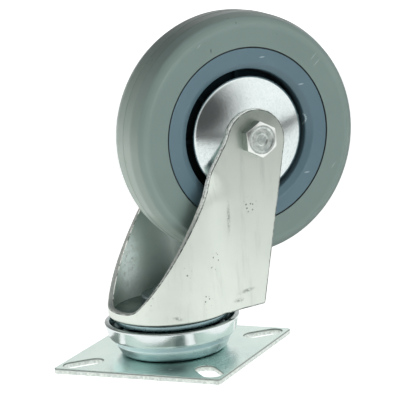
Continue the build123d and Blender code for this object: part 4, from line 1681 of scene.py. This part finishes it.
def skin(run, height):
    """A point of the fork's outside, in the fork's own frame."""
    reach = reach_at(abs(run))
    if height <= SHOULDER_START and abs(run) < crown_run:
        width = CROWN_RADIUS * sin(abs(run) / CROWN_RADIUS)
    else:
        rise = min(max(0.0, height - SHOULDER_START), SHOULDER_ARC)
        width = half_width(reach, CROWN_RADIUS - SHOULDER_ARC + sqrt(SHOULDER_ARC**2 - rise**2))
    return Vector((reach, width if run >= 0 else -width, height))


def form(run, height, depth):
    """The point at this depth into the sheet, straight under a point of the outside."""
    across = skin(run + SLOPE_STEP, height) - skin(run - SLOPE_STEP, height)
    upward = skin(run, height + SLOPE_STEP) - skin(run, height - SLOPE_STEP)
    return skin(run, height) + across.cross(upward).normalized() * depth


print("the crown is", round(2 * skin(crown_run / 2, SHOULDER_START).y, 1), "mm wide half way to the blend")

# %% [markdown]
# The pattern's outline is drawn from the side: along the crown's foot, up the
# leg's straight rear edge, round the eye, down the mouth's long straight edge
# and along the sill.  Lines meet the eye as tangents.

# %% Lines and arcs of the pattern
ARC_RUN = 0.6


def facing(angle):
    """The direction at an angle."""
    return Vector((cos(angle), sin(angle)))


def tangent_angle(start, centre, radius, side):
    """Where on a circle, as an angle, a line from a point touches it, on its left or right side."""
    way = centre - start
    return atan2(way.y, way.x) + side * (pi / 2 + asin(radius / way.length))


def arc_points(centre, radius, start, end):
    """Points along an arc, no further apart than ARC_RUN."""
    steps = ceil(abs(end - start) * radius / ARC_RUN)
    return [centre + radius * facing(start + (end - start) * step / steps) for step in range(steps + 1)]


def filled(points, step):
    """The same line with no step longer than this."""
    made = [points[0]]
    for first, second in zip(points, points[1:]):
        parts = ceil((second - first).length / step)
        made.extend(first.lerp(second, part / parts) for part in range(1, parts + 1))
    return made


print("arcs have steps of at most", ARC_RUN, "mm")

# %% The pattern's outline
PATTERN_STEP = 1.1
EYE_RADIUS = 16.4
EYE_BACK = 0.3
EYE_DROP = 1.5
MOUTH_CUT = 1.2
MOUTH_BLEND = 25.0
MOUTH_SET_IN = 3.4
SILL_HEIGHT = 5.9
SILL_BLEND = 6.0
HEEL_REACH = 42.2
HEEL_RISE = 1.0
HEEL_CORNER = 1.2

trail = axle_centre.xy.length / MM
axle_height = axle_centre.z / MM
crown_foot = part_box("fork")[0].z / MM
eye = Vector((trail - EYE_BACK, axle_height - EYE_DROP))
mouth_foot = Vector((MOUTH_SET_IN - CROWN_RADIUS, crown_foot + SILL_HEIGHT))
heel = Vector((HEEL_REACH, crown_foot + HEEL_RISE))
leg_lift = Vector((sqrt(CROWN_RADIUS**2 - (leg_outer - SHEET) ** 2), crown_foot))
rear_touch = tangent_angle(heel, eye, EYE_RADIUS, -1)
mouth_touch = tangent_angle(mouth_foot, eye, EYE_RADIUS - MOUTH_CUT, 1)
blend_out = EYE_RADIUS - MOUTH_CUT + MOUTH_BLEND
blend_back = sqrt((EYE_RADIUS + MOUTH_BLEND) ** 2 - blend_out**2)
blend_centre = eye + blend_out * facing(mouth_touch) - blend_back * facing(mouth_touch - pi / 2)
blend_touch = atan2(*(blend_centre - eye).yx)
eye_arc = arc_points(eye, EYE_RADIUS, rear_touch, blend_touch)
mouth_arc = arc_points(blend_centre, MOUTH_BLEND, blend_touch + pi, mouth_touch + pi)
side_line = [
    (-CROWN_RADIUS, crown_foot, 0),
    (*leg_lift, 0),
    (*heel, HEEL_CORNER),
    *((*point, 0) for point in eye_arc + mouth_arc[1:]),
    (*mouth_foot, SILL_BLEND),
    (-CROWN_RADIUS, mouth_foot.y, 0),
]
side_points = filled([point / MM for point in rounded(side_line, closed=False)], PATTERN_STEP)
half_pattern = filled([Vector((run_at(point.x), point.y)) for point in side_points], PATTERN_STEP)
other_side = [Vector((-point.x, point.y)) for point in reversed(half_pattern[1:-1])]
pattern = half_pattern + other_side
print("pattern of", len(pattern), "points, eye at run", round(run_at(eye.x), 1))

# %% [markdown]
# The edge of the sheet is not square: the press rolls the outer corner over and
# leaves the inner one sharper.  Round the crown's foot the corner is the bend
# that turns into the floor, so it is as large as the bend.  Each point of the
# outline therefore carries a row of points that runs over the edge, given as
# pairs of how far in from the outline and how deep in the sheet.

# %% Over the edge
ROLLOVER = 0.85
INNER_CORNER = 0.35
FOOT_BEND = 2.0
FOOT_BEND_END = (18.0, 24.0)
FOOT_ZONE = 0.2
CORNER_STEPS = 5
EDGE_SUPPORT = 0.25
BAND_ROWS = 3


def edge_rows(outer, inner):
    """Pairs (in from the edge, depth) from the outside over the edge to the inside."""
    rows = [(outer + EDGE_SUPPORT, 0.0)]
    quarter = [pi / 2 * step / CORNER_STEPS for step in range(CORNER_STEPS + 1)]
    rows += [(outer * (1 - sin(angle)), outer * (1 - cos(angle))) for angle in quarter]
    band = SHEET - inner - outer
    rows += [(0.0, outer + band * row / BAND_ROWS) for row in range(1, BAND_ROWS)]
    rows += [(inner * (1 - cos(angle)), SHEET - inner * (1 - sin(angle))) for angle in quarter]
    rows.append((outer + EDGE_SUPPORT, SHEET))
    return rows


def rollover_at(point):
    """The outer corner's radius at a point of the outline."""
    if point.y > crown_foot + FOOT_ZONE:
        return ROLLOVER
    start, end = FOOT_BEND_END
    fade = min(1.0, max(0.0, (end - reach_at(abs(point.x))) / (end - start)))
    return ROLLOVER + (FOOT_BEND - ROLLOVER) * fade * fade * (3 - 2 * fade)


print("rows over the edge:", len(edge_rows(ROLLOVER, INNER_CORNER)))

# %% The pattern's loops
AXLE_HOLE = 5.15
HOLE_POINTS = 48


def inward(loop, index):
    """The direction into the sheet at a point of a loop that runs anticlockwise."""
    way = loop[(index + 1) % len(loop)] - loop[index - 1]
    return Vector((-way.y, way.x)).normalized()


hole_centres = [Vector((side * run_at(trail), axle_height)) for side in (-1, 1)]
hole_turns = [-FULL_TURN * step / HOLE_POINTS for step in range(HOLE_POINTS)]
holes = [[centre + AXLE_HOLE * facing(angle) for angle in hole_turns] for centre in hole_centres]
loops = [(pattern, [rollover_at(point) for point in pattern])]
loops += [(hole, [INNER_CORNER] * HOLE_POINTS) for hole in holes]
print("loops with", ", ".join(str(len(loop)) for loop, _ in loops), "points")

# %% [markdown]
# Between the edges the two skins are filled with even triangles.  Blender's
# constrained Delaunay triangulation joins the innermost row of every edge and a
# field of evenly spaced points, and the same triangles serve outside and inside.

# %% Triangles between the edges
FIELD_STEP = 1.5
FIELD_ROW = FIELD_STEP * sqrt(3) / 2
FIELD_MARGIN = 0.8
SAME_POINT = 1e-5

rims = []
for loop, corners in loops:
    steps_in = [corner + EDGE_SUPPORT for corner in corners]
    rims.append([point + inward(loop, index) * steps_in[index] for index, point in enumerate(loop)])
rim_points = [point for rim in rims for point in rim]
tree = KDTree(len(rim_points))
for index, point in enumerate(rim_points):
    tree.insert((point.x, point.y, 0), index)
tree.balance()
half_run = max(point.x for point in pattern)
top = max(point.y for point in pattern)
field = []
for row in range(int((top - crown_foot) / FIELD_ROW) + 1):
    height = crown_foot + row * FIELD_ROW
    for column in range(int(-half_run / FIELD_STEP) - 1, int(half_run / FIELD_STEP) + 2):
        run = (column + row % 2 / 2) * FIELD_STEP
        if tree.find((run, height, 0))[2] > FIELD_MARGIN:
            field.append(Vector((run, height)))
borders = []
start = 0
for rim in rims:
    borders += [(start + index, start + (index + 1) % len(rim)) for index in range(len(rim))]
    start += len(rim)
spots, _, triangles, origins, _, _ = delaunay_2d_cdt(rim_points + field, borders, [], 1, SAME_POINT)
kept_triangles = []
for triangle in triangles:
    middle = sum((spots[corner] for corner in triangle), Vector((0, 0))) / 3
    if all((middle - centre).length > AXLE_HOLE for centre in hole_centres):
        kept_triangles.append(triangle)
print(len(field), "points in the field,", len(kept_triangles), "triangles")

# %% [markdown]
# Now the pattern is laid onto the form.  Each face is marked with the side it
# belongs to, because each side has a finish of its own.  A cut edge starts with
# a line of painted shade along the rolled corner, then the torn band, and ends
# with the burr on its inner corner.  At the crown's foot the corner is a bend
# and no cut, so it stays plated.

# %% Faces of the sheet
OUTSIDE, EDGE, INSIDE, BURR, SHADE_LINE = range(5)
SHADE_LINE_ROWS = 2
BENT = 1.2 * ROLLOVER
cut_marks = [OUTSIDE] + [SHADE_LINE] * SHADE_LINE_ROWS + [EDGE] * (CORNER_STEPS - SHADE_LINE_ROWS)
bent_marks = [OUTSIDE] * (CORNER_STEPS + 1)
inner_marks = [EDGE] * BAND_ROWS + [BURR] * CORNER_STEPS + [INSIDE]

places = []
faces = []
marks = []
skin_index = {}
used = sorted({corner for triangle in kept_triangles for corner in triangle})
for depth in (0.0, SHEET):
    for corner in used:
        skin_index[corner, depth] = len(places)
        places.append(form(*spots[corner], depth))
spot_of = {origin: spot for spot, given in enumerate(origins) for origin in given}
for depth, mark in ((0.0, OUTSIDE), (SHEET, INSIDE)):
    for triangle in kept_triangles:
        faces.append([skin_index[corner, depth] for corner in triangle])
        marks.append(mark)
start = 0
for loop, corners in loops:
    columns_of = []
    for index, point in enumerate(loop):
        way = inward(loop, index)
        rows = edge_rows(corners[index], INNER_CORNER)
        column = [skin_index[spot_of[start + index], 0.0]]
        for distance, depth in rows[1:-1]:
            column.append(len(places))
            places.append(form(*(point + way * distance), depth))
        column.append(skin_index[spot_of[start + index], SHEET])
        columns_of.append(column)
    for index, column in enumerate(columns_of):
        following = columns_of[(index + 1) % len(loop)]
        outer_marks = bent_marks if corners[index] > BENT else cut_marks
        for row, mark in enumerate(outer_marks + inner_marks):
            faces.append([column[row], following[row], following[row + 1], column[row + 1]])
            marks.append(mark)
    start += len(loop)
print(len(places), "points,", len(faces), "faces")

# %% The sheet
fork_mesh = bpy.data.meshes.new("fork")
fork_mesh.from_pydata([place * MM for place in places], [], faces)
for face, mark in zip(fork_mesh.polygons, marks):
    face.material_index = mark
    face.use_smooth = True
facing_out(fork_mesh)
fork_mesh.transform(FORK)
print("sheet of", len(fork_mesh.polygons), "faces")

# %% [markdown]
# The pressing's sides look different.  Outside it is satin, with faint draw
# marks up the sheet and a few pits from its working life.  Streaks of painted
# shade lie along its creases and bends, and painted shade darkens the eyes
# towards their top.  Inside, where little light gets, the plating is dull and
# mottled, with one painted highlight that is speckled with rust.  The crown's
# floor is painted darker still, as shade.

# %% Fork finish outside
DRAW_STRETCH = (1, 1, 0.12)
DRAW_COLOR = (0.50, 0.56, 0.51)
CREASE_SHADE_PIXELS = (
    ((233, 302), (245, 299)),
    ((238, 294), (256, 287)),
    ((172, 318), (184, 320)),
    ((228, 200), (229, 236)),
)
CREASE_SHADE_WIDTH = 1.5
CREASE_SHADE_SHARE = 0.62
CREASE_SHADE_COLOR = (0.20, 0.24, 0.22)
PIT_PIXELS = {(207, 302): 5.5, (216, 262): 7.0, (190, 272): 5.0, (249, 205): 6.0, (146, 300): 6.0}
PIT_COLOR = (0.06, 0.08, 0.06)
EYE_SHADE = (-4.0, 12.0)
EYE_SHADE_COLOR = (0.30, 0.35, 0.32)

fork_zinc = zinc_finish("fork_zinc", (0.88, 0.94, 0.86), (0.75, 0.82, 0.75), 0.33, 0.30)
draws = fork_zinc.noise(4.5, 5.0, 0.65, fork_zinc.along(FORK, DRAW_STRETCH))
fork_zinc.tint(fork_zinc.ramp(draws, 0.50, 0.72) * 0.30, DRAW_COLOR)
ragged = fork_zinc.ramp(fork_zinc.noise(1.2, 4.0, 0.7), 0.35, 0.6)
# Painted shade: dark streaks along the creases and bends.
for pixels in CREASE_SHADE_PIXELS:
    painted_dark = fork_zinc.streak("fork", pixels, CREASE_SHADE_WIDTH, CREASE_SHADE_SHARE)
    fork_zinc.tint(painted_dark * ragged * 0.75, CREASE_SHADE_COLOR)
pits = fork_zinc.specks(1.9, 0.30)
for pixel, spread in PIT_PIXELS.items():
    cluster = fork_zinc.ramp(fork_zinc.spot("fork", pixel, spread), 0.05, 0.6)
    fork_zinc.tint(cluster * pits * 0.8, PIT_COLOR)
# Painted shade: grey towards the top of the eyes.
eye_shade = fork_zinc.beyond(fork_zinc.height(), axle_height + EYE_SHADE[0], axle_height + EYE_SHADE[1])
fork_zinc.tint(eye_shade * (0.45 + 0.45 * fork_zinc.noise(4.0, 4.0, 0.6)), EYE_SHADE_COLOR)
print("fork outside", len(fork_zinc.tree.nodes), "nodes")

# %% Fork finish inside
INSIDE_HIGHLIGHT_PIXEL = (128, 262)
INSIDE_HIGHLIGHT_WIDTH = 11.0
INSIDE_HIGHLIGHT_HEIGHT = 26.0
INSIDE_HIGHLIGHT_COLOR = (0.88, 1.0, 0.96)
RUST_COLOR = (0.16, 0.18, 0.13)

fork_inside = zinc_finish("fork_inside", (0.84, 0.93, 0.88), (0.62, 0.72, 0.68), 0.42, 0.4)
# Painted highlight: a bright patch inside the far leg; the rust speckles on it are the metal's own.
inside_highlight = fork_inside.spot("fork", INSIDE_HIGHLIGHT_PIXEL, INSIDE_HIGHLIGHT_WIDTH, up, INSIDE_HIGHLIGHT_HEIGHT)
blotch = fork_inside.ramp(fork_inside.noise(3.5, 5.0, 0.7), 0.35, 0.62)
fork_inside.tint((inside_highlight * blotch * 1.8).at_most(1.0), INSIDE_HIGHLIGHT_COLOR)
rusty = fork_inside.ramp(fork_inside.noise(1.6, 5.0, 0.75), 0.55, 0.68)
fork_inside.tint(inside_highlight * rusty * 0.45, RUST_COLOR)
# Painted shade: the crown's floor is coloured dark.
fork_floor = zinc_finish("fork_floor", (0.15, 0.20, 0.18), (0.08, 0.12, 0.11), 0.36, 0.5)
print("fork inside", len(fork_inside.tree.nodes), "nodes")

# %% [markdown]
# The cut edge has three finishes.  Its band is torn and dark low down, and
# carries a painted highlight further up.  Along the rolled corner runs a line of
# painted shade, broken here and there by lighter patches, and the burr on the
# inner corner carries painted highlights in bright beads.

# %% Fork finish along the cut
EDGE_HIGHLIGHT_BAND = (68.0, 92.0)
TORN_DARK = (0.12, 0.14, 0.13)
TORN_LIGHT = (0.42, 0.46, 0.44)
EDGE_HIGHLIGHT_COLOR = (0.96, 1.0, 0.95)

fork_edge = Finish("fork_edge", (0.22, 0.24, 0.23), 0.45, 0.5)
tears = fork_edge.noise(1.2, 5.0, 0.7)
fork_edge.color(fork_edge.blend(tears, TORN_DARK, TORN_LIGHT))
# Painted highlight on the cut band, higher up the legs.
edge_highlight = fork_edge.beyond(fork_edge.height(), *EDGE_HIGHLIGHT_BAND) * fork_edge.ramp(tears, 0.34, 0.50)
fork_edge.tint(edge_highlight, EDGE_HIGHLIGHT_COLOR)
fork_edge.roughness(0.36 + 0.24 * tears)
fork_edge.bump(tears, 0.12)

# Painted shade: a dark line along the rolled corner.
fork_line = Finish("fork_line", (0.16, 0.19, 0.17), 0.40, 1.0)
line_breaks = fork_line.ramp(fork_line.noise(2.5, 4.0, 0.7), 0.42, 0.58)
fork_line.color(fork_line.blend(line_breaks, (0.10, 0.13, 0.12), (0.46, 0.50, 0.47)))

# Painted highlights: bright beads along the burr.
fork_burr = Finish("fork_burr", (0.80, 0.84, 0.79), 0.25, 0.3)
highlight_beads = fork_burr.ramp(fork_burr.noise(2.0, 2.0, 0.5), 0.42, 0.52)
fork_burr.color(fork_burr.blend(highlight_beads, (0.16, 0.19, 0.18), (0.96, 0.98, 0.94)))
fork_burr.roughness(0.42 - 0.20 * highlight_beads)

for finish in (fork_zinc, fork_edge, fork_inside, fork_burr, fork_line):
    fork_mesh.materials.append(finish.material)
print("fork has", len(fork_mesh.materials), "finishes")

# %% [markdown]
# The crown's floor carries the race ring and is held by the king pin.  It is a
# turned disc with a rounded foot, and its edge ends inside the pressed sheet.
# Between the legs, where no sheet covers that edge, it is drawn out to the
# crown's full radius.

# %% Crown floor
FLOOR_RADIUS = 31.0
FLOOR_BEND = 1.6
FLOOR_EDGE = 0.4
FLOOR_LIFT = 0.02
KING_HOLE = 6.8
KING_HOLE_EDGE = 0.3
FREE_EDGE_REACH = (12.0, 22.0)

floor_outline = [
    (KING_HOLE, crown_foot + FLOOR_LIFT, KING_HOLE_EDGE),
    (FLOOR_RADIUS, crown_foot + FLOOR_LIFT, FLOOR_BEND),
    (FLOOR_RADIUS, crown_foot + SHEET, FLOOR_EDGE),
    (KING_HOLE, crown_foot + SHEET, KING_HOLE_EDGE),
]
floor_mesh = turned("crown_floor", rounded(floor_outline), SWIVEL, fork_floor)
start, end = FREE_EDGE_REACH
for vertex in floor_mesh.vertices:
    share = min(1.0, max(0.0, (vertex.co.x / MM - start) / (end - start)))
    outer = min(1.0, max(0.0, (vertex.co.xy.length / MM - FLOOR_RADIUS + FLOOR_BEND) / FLOOR_BEND))
    vertex.co.xy *= 1 + (CROWN_RADIUS / FLOOR_RADIUS - 1) * share * outer
floor_mesh.transform(FORK)
piece_for("fork", fork_mesh, floor_mesh)

# %% [markdown]
# ## Last lines
# The view transform is the plain one.

# %% The view transform
bpy.context.scene.view_settings.view_transform = "Standard"
